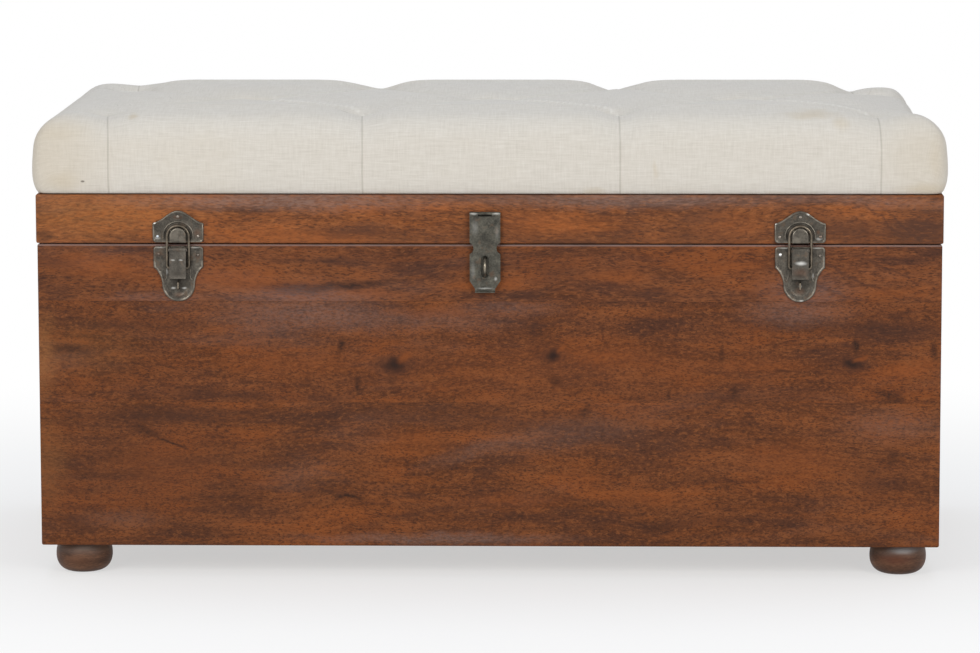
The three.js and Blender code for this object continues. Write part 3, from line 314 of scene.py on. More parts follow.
board("front_board_top", "chest", stained_pine(
    "pine_top_board", 0.0, (0.98, 0.95, 0.98), slip=1.5, highlit_top=0.337, marks=[
        (GLOW, [(-390, 315, 60, 14, 55, 4), (-250, 300, 60, 12, 40), (0, 296, 50, 6, 55),
            (-120, 290, 50, 5, 45, 4), (130, 306, 40, 10, 40), (230, 316, 60, 8, 35),
            (395, 290, 30, 5, 50)]),
        (DARK_KNOT, [(-140, 296, 62, 5, 75, -6.5)]),
        (SMOKE, [(-195, 293, 34, 8, 55, 4), (-430, 316, 30, 8, 40, 8), (-150, 319, 28, 6, 55),
            (66, 306, 34, 12, 40), (165, 289, 22, 6, 60), (30, 288, 28, 4, 50),
            (-60, 308, 50, 4, 40, 3), (360, 304, 60, 2.2, 55, 24), (400, 312, 60, 2.2, 50, 20),
            (345, 290, 50, 2, 45, 22)]),
        (PAINTED_SHEEN, [(-180, 284, 90, 13, 34), (315, 290, 50, 22, 34), (-330, 284, 60, 8, 24)]),
        (SMOKE, [(-20, 320, 200, 12, 20)]),
    ],
))
board("front_board_middle", "chest", stained_pine(
    "pine_middle_board", 1.3, (0.97, 0.91, 0.88),
    knots=[(-94.7, 216.7, 11, 7.5, 90), (64, 225, 8.5, 6, 80), (361.8, 216.7, 12, 4.5, 90)],
    marks=[
        (HONEY, [(-400, 232, 60, 30, 22), (-445, 225, 16, 50, 60)]),
        (GLOW, [(110, 225, 60, 12, 40, 4), (415, 212, 40, 10, 50, -8), (270, 215, 60, 8, 32),
            (-200, 218, 80, 12, 25), (-60, 268, 50, 6, 42)]),
        (DARK_KNOT, [(-147.6, 234.7, 5.5, 10, 85), (-130.6, 195.7, 3, 12, 85),
            (-95, 201, 7, 7, 55), (69, 199.8, 9, 7.5, 75), (231.1, 227.7, 3.4, 13, 65),
            (182.1, 187.8, 3, 9, 70), (243.1, 187.8, 6.5, 8, 70), (364.8, 236.7, 4, 10, 90),
            (395.8, 185, 26, 5.5, 70, 18), (295, 210.8, 11, 1.8, 70), (441.8, 230.7, 4.5, 11, 70),
            (-418, 231.7, 21, 5, 65, 6)]),
        (SMOKE, [(395, 252, 70, 11, 60), (290, 256, 60, 8, 35), (47, 256, 6, 13, 45),
            (-260, 186, 140, 7, 45, 2), (250, 184, 130, 6, 35), (-350, 256, 60, 8, 35)]),
        (PAINTED_SHEEN, [(-175, 268, 95, 22, 40), (-60, 260, 100, 13, 24), (20, 274, 60, 10, 26),
            (305, 270, 60, 17, 36)]),
        (GLOW, [(50, 215, 300, 30, 20)]),
    ],
))
board("front_board_bottom", "chest", stained_pine(
    "pine_bottom_board", 2.9, (1.00, 0.94, 0.88), marks=[
        (GLOW, [(-330, 115, 60, 30, 30), (-75, 138, 50, 14, 38), (300, 120, 60, 22, 38),
            (30, 78, 60, 10, 38), (160, 80, 50, 10, 32, 4)]),
        (HONEY, [(-440, 115, 20, 50, 40)]),
        (DARK_KNOT, [(-320.4, 135.9, 20, 1.8, 90, 26), (-345, 149, 24, 5.5, 50, 24),
            (-140.6, 83, 21, 2.2, 85, 3)]),
        (SMOKE, [(-170, 87, 52, 3.8, 45, 2)]),
        (DARK_KNOT, [(93, 169, 12, 6, 55, -40), (405, 123, 9, 9, 45)]),
        (SMOKE, [(-290, 164, 65, 9, 55), (-415, 56, 32, 9, 55, 12), (-70, 66, 60, 5, 45, -14),
            (60, 156, 100, 12, 30), (390, 100, 30, 28, 35), (200, 56, 80, 6, 40, -4)]),
        (PAINTED_SHEEN, [(-50, 40, 150, 7, 50), (70, 145, 100, 18, 18, -8), (-15, 128, 70, 10, 18, -16),
            (400, 156, 60, 20, 20), (-370, 60, 50, 11, 20)]),
        (SMOKE, [(-340, 100, 150, 70, 38), (-360, 165, 100, 16, 30), (-60, 165, 120, 12, 30)]),
    ],
))
board("back_panel", "chest", stained_pine("pine_back", 4.4, (0.95, 0.95, 0.97)))
for side_seed, side in ((5.6, "left"), (7.1, "right")):
    board(f"{side}_side_panel", "chest", stained_pine(f"pine_{side}_side", side_seed, along="Y"))

# ================================================================ floor and glue blocks
# The floor is a loose birch plywood board in a groove. A sawn pine block is glued into each lower
# corner and takes the tenon of a foot. None of it is stained.


def birch_ply(name):
    """Rotary-cut face veneer, with the plies showing as stripes on the cut edges."""
    ply = Finish(name, {"Specular IOR Level": 0.3})
    swirl = ply.wander(ply.place(), 4, (0.05, 0.05, 0))
    figure = ply.noise((5, 42, 30), 4, 0.55, of=swirl)
    fibre = ply.noise((60, 900, 900), of=swirl)
    face = ply.shades(0.65 * figure + 0.35 * fibre, [
        (0.40, (0.34, 0.20, 0.095)), (0.50, (0.45, 0.28, 0.145)), (0.60, (0.56, 0.38, 0.210)),
    ])
    height = ply.along("Z")
    plies = abs(height.maths("FRACT", height * 417) - 0.5)
    edge = ply.shades(plies + 0.2 * fibre, [(0.2, (0.24, 0.13, 0.06)), (0.42, (0.50, 0.33, 0.18))])
    upright = abs(ply.along("Z", ply.node("NewGeometry", output="Normal")))
    ply.bump(fibre + figure * 0.5, 0.0002, 0.5)
    return ply.done(
        Base_Color=ply.mix(ply.between(upright, 0.3, 0.7), edge, face),
        Roughness=0.62 + 0.2 * fibre,
    )


def sawn_pine(name):
    wood = Finish(name, {"Specular IOR Level": 0.3})
    grain = wood.wander(wood.place((9, 9, 9)), 1, (0.5, 0.5, 0.5))
    rings = wood.noise((1, 14, 14), 3, 0.6, of=grain)
    fibre = wood.noise((30, 700, 700))
    colour = wood.shades(0.7 * rings + 0.3 * fibre, [
        (0.40, (0.30, 0.155, 0.060)), (0.52, (0.44, 0.260, 0.115)), (0.62, (0.52, 0.340, 0.165)),
    ])
    wood.bump(fibre + rings * 0.4, 0.0004, 0.6)
    return wood.done(Base_Color=colour, Roughness=0.68 + 0.2 * fibre)


def refinish(node, finish):
    """A solid that needs no finer shape keeps it, and takes a real finish."""
    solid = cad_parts[node]
    solid.data.materials.clear()
    solid.data.materials.append(finish)


corners = ("front_left", "front_right", "back_left", "back_right")
ply_finish = birch_ply("birch_plywood")
block_finish = sawn_pine("sawn_pine")
refinish("floor_board", ply_finish)
for corner in corners:
    refinish(f"{corner}_corner_block", block_finish)

# ================================================================ bun feet
# Four squat buns turned on a lathe, stained darker than the chest. Each has a round tenon on top,
# glued into the corner block. The lathe leaves faint rings, and a grey sheen and highlights are
# painted round the crown.

FOOT_WIDEST, FOOT_WAIST = 0.0285, 0.0170  # radius, and the height it lies at
FOOT_NECK, FOOT_TOP = 0.0240, 0.0319
FOOT_SOLE = 0.0130
LOWER_CURVE = (0.0235, 0), (FOOT_WIDEST, 0.0078)  # the handles of the two curves between them
UPPER_CURVE = (FOOT_WIDEST, 0.0250), (0.0262, 0.0290)
TENON, TENON_TOP = 0.0090, 0.0480


def sweep(start, leave, arrive, end, steps=14):
    """Points along a drawn curve, without its last."""
    bends = [Vector((*point, 0)) for point in (start, leave, arrive, end)]
    return [(p.x, p.y) for p in geometry.interpolate_bezier(*bends, steps)][:-1]


def turned(bm, profile, centre, axis=(0, 0, 1), across=(1, 0, 0), steps=48):
    """Turns a profile of (distance from the axis, distance along it) into a round piece."""
    axis, across, centre = Vector(axis), Vector(across), Vector(centre)
    ring = [bm.verts.new(centre + across * r + axis * h) for r, h in profile]
    edges = [bm.edges.new(pair) for pair in zip(ring, ring[1:])]
    bmesh.ops.spin(
        bm, geom=ring + edges, cent=centre, axis=axis, angle=2 * math.pi, steps=steps,
        use_merge=True,
    )
    bmesh.ops.remove_doubles(bm, verts=bm.verts, dist=1e-6)
    bmesh.ops.recalc_face_normals(bm, faces=bm.faces)


def turned_foot_finish():
    wood = Finish("stained_foot", {"Specular IOR Level": 0.20, "Coat Roughness": 0.45})
    height = wood.along("Z")
    figure = wood.noise((30, 30, 130), 4, 0.6)
    fibre = wood.noise((260, 260, 1400))
    lathe = wood.noise((2, 2, 900), 1)
    colour = wood.shades(0.6 * figure + 0.4 * fibre, [
        (0.38, (0.050, 0.022, 0.012)),
        (0.50, (0.098, 0.045, 0.025)),
        (0.62, (0.155, 0.074, 0.040)),
    ])
    # A grey sheen painted in a band round the upper crown.
    crown = wood.between(height, 0.018, 0.025) * wood.between(height, 0.0325, 0.028)
    colour = wood.mix(crown * 0.35, colour, (0.190, 0.145, 0.122))
    # Painted highlights on the crowns, brighter on the right, and redder low down.
    colour = wood.marked(colour, [
        ((0.330, 0.320, 0.315), [(418, 27.5, 16.5, 4.2, 90)]),
        ((0.240, 0.205, 0.180), [(-405, 28.5, 14, 4, 45)]),
        ((0.125, 0.040, 0.018), [(408, 18, 20, 6.5, 60)]),
        ((0.135, 0.055, 0.026), [(-415, 15, 18, 5, 40)]),
    ], wood.wander(wood.place(), 200, (0.004, 0, 0.001)))
    wood.bump(lathe * 0.5 + fibre * 0.5, 0.0002, 0.5)
    return wood.done(
        Base_Color=colour, Roughness=0.46 + 0.2 * fibre, Coat_Weight=0.05 + 0.1 * figure
    )


foot_finish = turned_foot_finish()
foot_curve = (
    [(0, 0)]
    + sweep((FOOT_SOLE, 0), *LOWER_CURVE, (FOOT_WIDEST, FOOT_WAIST))
    + sweep((FOOT_WIDEST, FOOT_WAIST), *UPPER_CURVE, (FOOT_NECK, FOOT_TOP))
    + [(FOOT_NECK, FOOT_TOP), (TENON, FOOT_TOP), (TENON, TENON_TOP), (0, TENON_TOP)]
)
for corner in corners:
    foot = bmesh.new()
    turned(foot, foot_curve, (*middle_of(f"{corner}_foot").xy, 0))
    finished(foot, f"{corner}_bun_foot", "chest", foot_finish, [f"{corner}_foot"])

# ================================================================ lid frame
# Four rails, rebated like the chest's walls, stained a little more orange. A birch plywood board
# screwed on top of them carries the cushion.

board("lid_rail_front", "lid", stained_pine(
    "pine_front_rail", 9.4, (1.40, 1.36, 1.26), slip=1.7, marks=[
        (HONEY, [(-390, 368, 110, 30, 34)]),
        # A painted sheen along the rail's top edge, and darker along its bottom.
        (PAINTED_SHEEN, [(-200, 382, 190, 13, 50), (150, 383, 190, 11, 45), (380, 382, 120, 9, 30, 4)]),
        (SMOKE, [(-100, 343, 260, 13, 34), (180, 343, 200, 13, 30)]),
        (GLOW, [(-180, 345, 80, 10, 40), (70, 358, 80, 14, 38), (240, 356, 40, 14, 25)]),
        (DARK_KNOT, [(-445, 346, 12, 6, 55)]),
        (SMOKE, [(-130, 353, 40, 8, 55, -4), (210, 362, 34, 16, 45), (430, 350, 40, 28, 80),
            (350, 350, 60, 18, 55), (395, 360, 30, 1.6, 60, 42), (412, 356, 30, 1.6, 60, 44),
            (380, 374, 50, 1.6, 50, 10), (300, 378, 60, 1.4, 45, 10)]),
    ],
))
board("lid_rail_back", "lid", stained_pine("pine_back_rail", 11.0, (1.15, 1.10, 1.02), slip=2.2))
for side_seed, side in ((12.7, "left"), (14.2, "right")):
    board(f"lid_rail_{side}", "lid", stained_pine(
        f"pine_{side}_rail", side_seed, (1.22, 1.14, 1.05), "Y", 2.2
    ))
refinish("lid_board", ply_finish)

# ================================================================ seat cushion
# Foam and wadding under one sheet of linen, pulled down by buttons in three staggered rows. The
# cloth folds into pleats from button to button, and from the outer buttons straight over the
# edge and down the sides. It is stapled under the board all round.

CUSHION_HALF = (0.4545, 0.2040)  # before it swells
CUSHION_EDGE = 0.0450  # height of the upright sides
CUSHION_ROLL = (0.0310, 0.0290)  # how far in the edge rolls over, and how far it climbs
CUSHION_CORNER = 4  # how square its corners are in plan: 2 is a quarter circle
SLACK_CORNER = 2.2  # the same at the back corner on the right, which is packed less full
CUSHION_CROWN = 0.0175
CROWN_REACH = 0.120  # how far from the edge it is fully up
END_REACH = 0.130  # the same at the two ends
END_CROWN = (0.8, 0.6)  # how much of the crown is left at the left end and at the right
CUSHION_DIP = 0.0090  # how much lower the middle row is than the rows along the edges
DIP_REACH = 0.140
SLACK_END, SLACK_REACH = 0.0085, 0.10  # how far the right end sags, and how far in from it
SLACK_DROP, DROP_REACH = 0.0060, 0.07  # the same for its back corner
DROP_FROM, DROP_EASE = 0.08, 0.08  # how far back that sag starts, and how slowly
END_PULL = 0.0100  # how far it is drawn in behind its front corner
PULL_FROM, PULL_EASE = -0.150, 0.100
SIDE_BELLY = 0.0015
TURN_UNDER, TURN_HEIGHT = 0.0040, 0.018  # how far the sides turn under, and from what height
CUSHION_SWELL = 0.0045  # most that the stuffing may push the cloth
TUFT_PITCH = (0.257, 0.132)
TUFT_ROWS = ((-1, 4), (0, 3), (1, 4))
TUFT_DEPTH = 0.0230
TUFT_REACH = 0.0190
TUFT_HELD = 0.012  # how far round a button the cloth can't move
SEAM_HELD, SEAM_FOOT = 0.006, 0.013  # the same along a pleat, and how far down its seam runs
PLEAT_DEPTH, PLEAT_SAG = 0.0110, 0.010
PLEAT_REACH = 0.0600  # how far from a pleat the stuffing is back to its full height
SEAM_REACH = 0.0480  # the same at the front, where the pleats are only sewn flat
SIDE_REACH = 0.0420
LIP_HIGH, LIP_WIDE = 0.0042, 0.0085  # how far a pleat's upper fold stands up, and its width
CLOTH_CELL = 0.0061
THREAD_PITCH = 0.0011
ROUND_BOARD = 0.0004  # the slack of the cloth round the lid board
UNDERSIDE_RINGS = 5

board_low, board_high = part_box("lid_board")
cushion_middle = Vector((*middle_of("seat_cushion").xy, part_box("seat_cushion")[0].z))
tufts = [  # the buttons, as (x, y) from the cushion's middle
    ((i - (count - 1) / 2) * TUFT_PITCH[0], row * TUFT_PITCH[1])
    for row, count in TUFT_ROWS
    for i in range(count)
]
# The pleats to the front and the back, by their button's column: how far each slants to the
# right, and how deep it is drawn. Those to the ends, by (end, row): how deep.
FRONT_PLEATS = {-1.5: (0.086, 0.6), -0.5: (0.038, 0.6), 0.5: (0.022, 0.6), 1.5: (0.032, 0.6)}
BACK_PLEATS = {-1.5: (0, 0.3), -0.5: (0.08, 0.7), 0.5: (-0.10, 0.9), 1.5: (-0.15, 0.9)}
END_PLEATS = {(-1, -1): 0, (-1, 1): 0, (1, -1): 0.2, (1, 1): 1}


def pleat_lines():
    """The pleats, as (x0, y0, x1, y1, sag, depth, reach). The diagonal ones bow a little as they
    hang. Those at the front are flat seams, and the right end is pulled harder than the left."""
    lines = []
    beyond = 2 * CUSHION_HALF[0]
    for x, y in tufts:
        if y == 0:
            for way_x, way_y in ((-1, -1), (-1, 1), (1, -1), (1, 1)):
                to_x = x + way_x * TUFT_PITCH[0] / 2
                sag = PLEAT_SAG * way_x * way_y
                lines.append((x, y, to_x, way_y * TUFT_PITCH[1], sag, 1.0, PLEAT_REACH))
            continue
        way_x, way_y = math.copysign(1, x), math.copysign(1, y)
        column = round(x / TUFT_PITCH[0], 1)
        slant, depth = (FRONT_PLEATS if y < 0 else BACK_PLEATS)[column]
        reach = SEAM_REACH if y < 0 else PLEAT_REACH
        lines.append((x, y, x + slant, way_y * beyond, 0, depth, reach))
        if abs(column) == 1.5:
            lines.append((x, y, way_x * beyond, y, 0, END_PLEATS[way_x, way_y], SIDE_REACH))
    return lines


def from_line(x, y, line):
    """Signed distance from a bowed pleat."""
    x0, y0, x1, y1, sag = line[:5]
    run_x, run_y = x1 - x0, y1 - y0
    length = math.hypot(run_x, run_y)
    along = ((x - x0) * run_x + (y - y0) * run_y) / length**2
    held = min(max(along, 0), 1)
    aside = ((x - x0) * run_y - (y - y0) * run_x) / length - sag * math.sin(math.pi * held)
    return math.copysign(math.hypot(aside, (along - held) * length), aside)


pleats = pleat_lines()


def pleat_pull(x, y):
    """How deep the pleats draw the cloth down here, from 0 to 1, the distance to the nearest, and
    how high a diagonal pleat's fold stands here."""
    nearest, pull, lip = 1.0, 0.0, 0.0
    for line in pleats:
        sag, depth, reach = line[4:]
        aside = from_line(x, y, line)
        pull = max(pull, depth * max(1 - abs(aside) / reach, 0) ** 2.2)
        seen = aside * (1 if sag == 0 else (2.2 if sag < 0 else 5))  # a diagonal's line is finer
        if abs(seen) < abs(nearest):
            nearest = seen
        if sag and aside < 0:
            stands = (1.0 if sag < 0 else 0.6) * math.exp(-(((aside / LIP_WIDE + 1) / 0.7) ** 2))
            lip = max(lip, stands)
    return pull, nearest, lip


def eased(share):
    """0 to 1, starting and ending gently."""
    share = min(max(share, 0), 1)
    return share**2 * (3 - 2 * share)


def to_tuft(x, y):
    """Distance to the nearest button."""
    return min(math.hypot(x - tuft_x, y - tuft_y) for tuft_x, tuft_y in tufts)


def seat_height(x, y):
    """Height of the cloth over the flat seat: crowned, valleyed at pleats, dimpled at buttons."""
    pull, _, lip = pleat_pull(x, y)
    to_end = max(CUSHION_HALF[0] - abs(x), 0)
    share = min(to_end, max(CUSHION_HALF[1] - abs(y), 0)) / CROWN_REACH
    crown = CUSHION_CROWN * (0.4 * (1 - (1 - min(share, 1)) ** 2) + 0.6 * eased(share))
    left = END_CROWN[x > 0]
    crown *= left + (1 - left) * eased(to_end / END_REACH)
    crown -= CUSHION_DIP * max(1 - (y / DIP_REACH) ** 6, 0) * eased(to_end / CROWN_REACH)
    if x > 0:
        crown -= SLACK_END * eased(1 - to_end / SLACK_REACH) * max(1 - (y / DIP_REACH) ** 4, 0)
        back = eased((y - DROP_FROM) / DROP_EASE)
        crown -= SLACK_DROP * eased(1 - to_end / DROP_REACH) * back
    dimple = math.exp(-((to_tuft(x, y) / TUFT_REACH) ** 2))
    fold = LIP_HIGH * lip * (1 - dimple)
    return crown - PLEAT_DEPTH * pull - (TUFT_DEPTH - PLEAT_DEPTH) * dimple + fold


def end_pull(y):
    """How far the right end's upper edge is drawn in, this far back."""
    return END_PULL * eased((y - PULL_FROM) / PULL_EASE)


def side_tuck(height):
    """How far the cover's side lies in from upright: it bellies a little, and turns under."""
    belly = SIDE_BELLY * math.sin(math.pi * height / CUSHION_EDGE)
    return TURN_UNDER * max(1 - height / TURN_HEIGHT, 0) ** 2 - belly


def only(kind, made):
    """What an operator made, of one kind."""
    return [g for g in made["geom"] if isinstance(g, kind)]


def draw_out(bm, edges):
    """Draws a row of faces out of open edges. Returns its new points and its new open edges."""
    made = bmesh.ops.extrude_edge_only(bm, edges=edges)
    open_edges = [edge for edge in only(bmesh.types.BMEdge, made) if edge.is_boundary]
    return only(bmesh.types.BMVert, made), open_edges


def lay_cover():
    """The cover as it is first laid: a net over the top, rolled over the edge and drawn down the
    sides, under the edge and up round the board. Keeps each point's place on the flat cloth."""
    roll_in, roll_down = CUSHION_ROLL
    arc = 0.5 * math.pi * math.sqrt((roll_in**2 + roll_down**2) / 2)
    flat_x, flat_y = (half - roll_in for half in CUSHION_HALF)
    spread_x, spread_y = flat_x + arc, flat_y + arc
    across, deep = (2 * round(spread / CLOTH_CELL) for spread in (spread_x, spread_y))
    bm = bmesh.new()
    bmesh.ops.create_grid(bm, x_segments=across, y_segments=deep, size=1)
    cloth_place = bm.verts.layers.float_vector.new("cloth_place")
    crease, fold, held = (bm.verts.layers.float.new(name) for name in ("crease", "fold", "held"))
    rim = [edge for edge in bm.edges if edge.is_boundary]
    for vert in bm.verts:
        u, v = vert.co.x * spread_x, vert.co.y * spread_y
        over_x = max(abs(u) - flat_x, 0) / arc
        over_y = max(abs(v) - flat_y, 0) / arc
        over = max(over_x, over_y)
        swing = over * math.pi / 2
        square = SLACK_CORNER if u > 0 and v > 0 else CUSHION_CORNER
        size = (over_x**square + over_y**square) ** (1 / square) or 1
        out_x, out_y = over_x / size, over_y / size
        round_x = min(abs(u), flat_x) + roll_in * math.sin(swing) * out_x
        round_y = min(abs(v), flat_y) + roll_in * math.sin(swing) * out_y
        puff = seat_height(math.copysign(round_x, u), math.copysign(round_y, v)) * (1 - over**3)
        x = math.copysign(round_x + puff * math.sin(swing) * out_x, u)
        y = math.copysign(round_y + puff * math.sin(swing) * out_y, v)
        if u > flat_x:
            x -= end_pull(y) * over_x
        vert[cloth_place] = (u, v, 0)
        _, vert[crease], vert[fold] = pleat_pull(x, y)
        vert.co = (x, y, CUSHION_EDGE + (roll_down + puff) * math.cos(swing))

    sides = round(CUSHION_EDGE / CLOTH_CELL)
    step = CUSHION_EDGE / sides
    for level in range(sides - 1, -1, -1):
        height = CUSHION_EDGE * level / sides
        below, rim = draw_out(bm, rim)
        tuck = side_tuck(height) - side_tuck(height + step)
        for vert in below:
            away = Vector([
                math.copysign(max(abs(c) - flat, 0), c)
                for c, flat in zip(vert.co, (flat_x, flat_y, math.inf))
            ]).normalized()
            u, v, _ = vert[cloth_place]
            vert[cloth_place] = (u + away.x * step, v + away.y * step, 0)
            vert.co -= away * tuck
            if u > flat_x:
                vert.co.x += away.x * end_pull(vert.co.y) / sides
            vert.co.z = height
            vert[held] = float(level == 0)

    inner_x = board_high.x - cushion_middle.x + ROUND_BOARD
    inner_y = board_high.y - cushion_middle.y + ROUND_BOARD
    for height in (0.0, board_high.z - board_low.z + ROUND_BOARD / 2):
        below, rim = draw_out(bm, rim)
        for vert in below:
            vert.co.x = min(max(vert.co.x, -inner_x), inner_x)
            vert.co.y = min(max(vert.co.y, -inner_y), inner_y)
            vert.co.z = height
            vert[held] = 1.0
    for ring in range(1, UNDERSIDE_RINGS + 1):
        below, rim = draw_out(bm, rim)
        left = 1 - (ring - 1) / UNDERSIDE_RINGS
        shrink_y = (1 - ring / UNDERSIDE_RINGS) / left
        shrink_x = (inner_x - inner_y * ring / UNDERSIDE_RINGS) / (inner_x - inner_y * (1 - left))
        bmesh.ops.scale(bm, verts=below, vec=(shrink_x, shrink_y, 1))
    bmesh.ops.remove_doubles(bm, verts=below, dist=1e-6)
    for vert in bm.verts:
        if vert.co.z > CUSHION_EDGE and to_tuft(*vert.co.xy) < TUFT_HELD:
            vert[held] = 1.0
        elif vert.co.z > SEAM_FOOT:
            vert[held] = max(vert[held], 0.85 * math.exp(-((vert[crease] / SEAM_HELD) ** 2)))
    bmesh.ops.translate(bm, verts=bm.verts, vec=cushion_middle)
    bmesh.ops.recalc_face_normals(bm, faces=bm.faces)
    return bm


def swell(piece, most):
    """Stuffs the cover: the cloth is blown out a little from where it is sewn and stapled, and
    finds its own wrinkles. No point moves further than `most`."""
    mesh = piece.data
    before = [vert.co.copy() for vert in mesh.vertices]
    sewn = piece.vertex_groups.new(name="sewn")
    holds = mesh.attributes["held"].data
    for index, hold in enumerate(holds):
        sewn.add([index], hold.value, "REPLACE")
    cloth = piece.modifiers.new("stuffing", "CLOTH")
    for setting, value in {
        "quality": 5, "mass": 0.35, "tension_stiffness": 18, "compression_stiffness": 18,
        "shear_stiffness": 8, "bending_stiffness": 0.6, "use_pressure": True,
        "uniform_pressure_force": 4, "shrink_min": -0.012, "vertex_group_mass": "sewn",
        "pin_stiffness": 8,
    }.items():
        setattr(cloth.settings, setting, value)
    cloth.settings.effector_weights.gravity = 0
    cloth.collision_settings.use_collision = False
    scene = bpy.context.scene
    for step in range(1, 21):
        scene.frame_set(step)
    after = piece.evaluated_get(bpy.context.evaluated_depsgraph_get())
    blown = [vert.co.copy() for vert in after.data.vertices]
    piece.modifiers.remove(cloth)
    piece.vertex_groups.remove(sewn)
    scene.frame_set(1)
    for vert, start, end in zip(mesh.vertices, before, blown):
        push = end - start
        vert.co = start + push * (most / max(push.length, most))


def linen(name):
    """Undyed linen, plain weave: thick and thin threads both ways, grey-cream, slightly soiled."""
    cloth = Finish(name, {
        "Specular IOR Level": 0.15, "Sheen Weight": 0.12, "Sheen Roughness": 0.5,
        "Sheen Tint": (0.95, 0.95, 1.0, 1),
    })
    flat = cloth.stored("cloth_place", "Vector")
    weft = cloth.noise((48, 740, 1), 3, 0.6, of=flat)
    warp = cloth.noise((740, 48, 1), 3, 0.6, move=(4, 2, 0), of=flat)
    slubs = cloth.noise((50, 400, 1), 3, 0.65, move=(1, 9, 0), of=flat)
    slubs_up = cloth.noise((420, 52, 1), 3, 0.65, move=(7, 5, 0), of=flat)
    across, upward = (
        thread.maths("SINE", thread * (2 * math.pi / THREAD_PITCH) + wave * 3)
        for thread, wave in ((cloth.along("X", flat), warp), (cloth.along("Y", flat), weft))
    )
    weave = across * upward
    colour = cloth.shades(0.34 * weft + 0.26 * warp + 0.24 * slubs + 0.16 * slubs_up, [
        (0.36, (0.545, 0.510, 0.456)),
        (0.50, (0.619, 0.584, 0.529)),
        (0.64, (0.686, 0.656, 0.606)),
    ])
    colour = cloth.mix(0.08 + 0.05 * weave, colour, (0.540, 0.505, 0.435))
    soil = cloth.between(cloth.noise((5, 5, 9), 4, 0.6), 0.50, 0.75)
    colour = cloth.mix(0.16 * soil, colour, (0.600, 0.530, 0.410))
    ragged = cloth.wander(cloth.place(), 60, (0.01, 0, 0.01))
    # Soft brown ovals: stains and soiling on the ends and the front, darker in the middle row's
    # three dimples, and a broken band of painted shade low on the front, where the cloth turns
    # under.
    for x, y, z, half_width, half_height, strength in (  # in millimetres, and per cent
        (325, -185, 470, 36, 5.5, 36), (354, -195, 461, 10, 8, 30), (170, -200, 417, 2.5, 12, 26),
        (-350, -170, 468, 6, 3, 45), (-250, 0, 460, 22, 10, 22), (0, 0, 460, 22, 10, 22),
        (250, 0, 460, 22, 10, 22), (-418, -200, 406, 22, 12, 26), (-445, -200, 430, 90, 70, 26),
        (-430, -200, 456, 45, 12, 18), (435, -200, 430, 50, 60, 18), (440, -200, 398, 36, 8, 36),
        (448, -200, 425, 10, 30, 18), (-240, -200, 392, 30, 5, 30), (-100, -200, 392, 60, 5, 20),
        (110, -200, 393, 14, 8, 34), (290, -200, 392, 60, 4, 20),
    ):
        size = (half_width / 1000, 0.05, half_height / 1000)
        far = cloth.spot(ragged, (x / 1000, y / 1000, z / 1000), size)
        stain = cloth.between(far, 0.1, 1.2, strength / 100, 0)
        colour = cloth.mix(stain, colour, (0.50, 0.40, 0.25))
    hole = cloth.spot(cloth.place(), (-0.4030, -0.2, 0.4005), (0.0022, 0.1, 0.0012))
    colour = cloth.mix(cloth.between(hole, 0.5, 1.2, 0.75, 0), colour, (0.10, 0.08, 0.06))
    # Painted shade along each pleat's crease, and a painted highlight on the upper fold of the
    # diagonal pleats.
    fold = cloth.between(abs(cloth.stored("crease")), 0.0002, 0.0013, 1, 0)
    lip = cloth.between(cloth.stored("fold"), 0.70, 1.00, 0, 0.26)
    colour = cloth.mix(lip, colour, (0.900, 0.890, 0.850))
    colour = cloth.mix(fold * 0.32, colour, (0.260, 0.230, 0.185))
    threads = weave * 0.15 + 0.4 * weft + 0.4 * warp + 0.2 * slubs + 0.2 * slubs_up
    cloth.bump(threads - 2.0 * fold, 0.0004, 0.34)
    return cloth.done(Base_Color=colour, Roughness=0.86 + 0.08 * weft)


linen_finish = linen("natural_linen")
cushion = finished(
    lay_cover(), "tufted_cushion", "lid", linen_finish, ["seat_cushion"], crease=80
)
swell(cushion, CUSHION_SWELL)
cushion.modifiers.new("soft_cloth", "SUBSURF").levels = 1
cushion.modifiers["soft_cloth"].render_levels = 1

# ================================================================ covered buttons
# Eleven domed buttons covered in the same linen, drawn hard down into the cushion by twine through
# the board.

BUTTON_DOME = ((0, 0), (0.0096, 0), (0.0108, 0.0010), (0.0110, 0.0022), (0.0102, 0.0036),
               (0.0082, 0.0045), (0.0050, 0.0049), (0, 0.0050))

for number in range(1, len(tufts) + 1):
    node = f"seat_button_{number:02d}"
    button = bmesh.new()
    turned(button, BUTTON_DOME, (*middle_of(node).xy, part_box(node)[0].z), steps=32)
    cloth_place = button.verts.layers.float_vector.new("cloth_place")
    crease = button.verts.layers.float.new("crease")
    button.verts.layers.float.new("fold")
    for vert in button.verts:
        vert[cloth_place] = vert.co
        vert[crease] = 1.0
    name = f"covered_button_{number:02d}"
    finished(button, name, "lid", linen_finish, [node], crease=80)

# ================================================================ toggle latches
# Pressed from sheet iron with a raised bead round every edge, blackened and waxed, then
# rubbed bright where hands and the bail touch it. Highlights are painted over the outer crests and
# as glints, and shade is painted into the hollows and under the lever. The catch plate is nailed
# to the lid and the base plate to the chest. Sizes are in millimetres: across, up from the seam,
# and out from the chest's face.

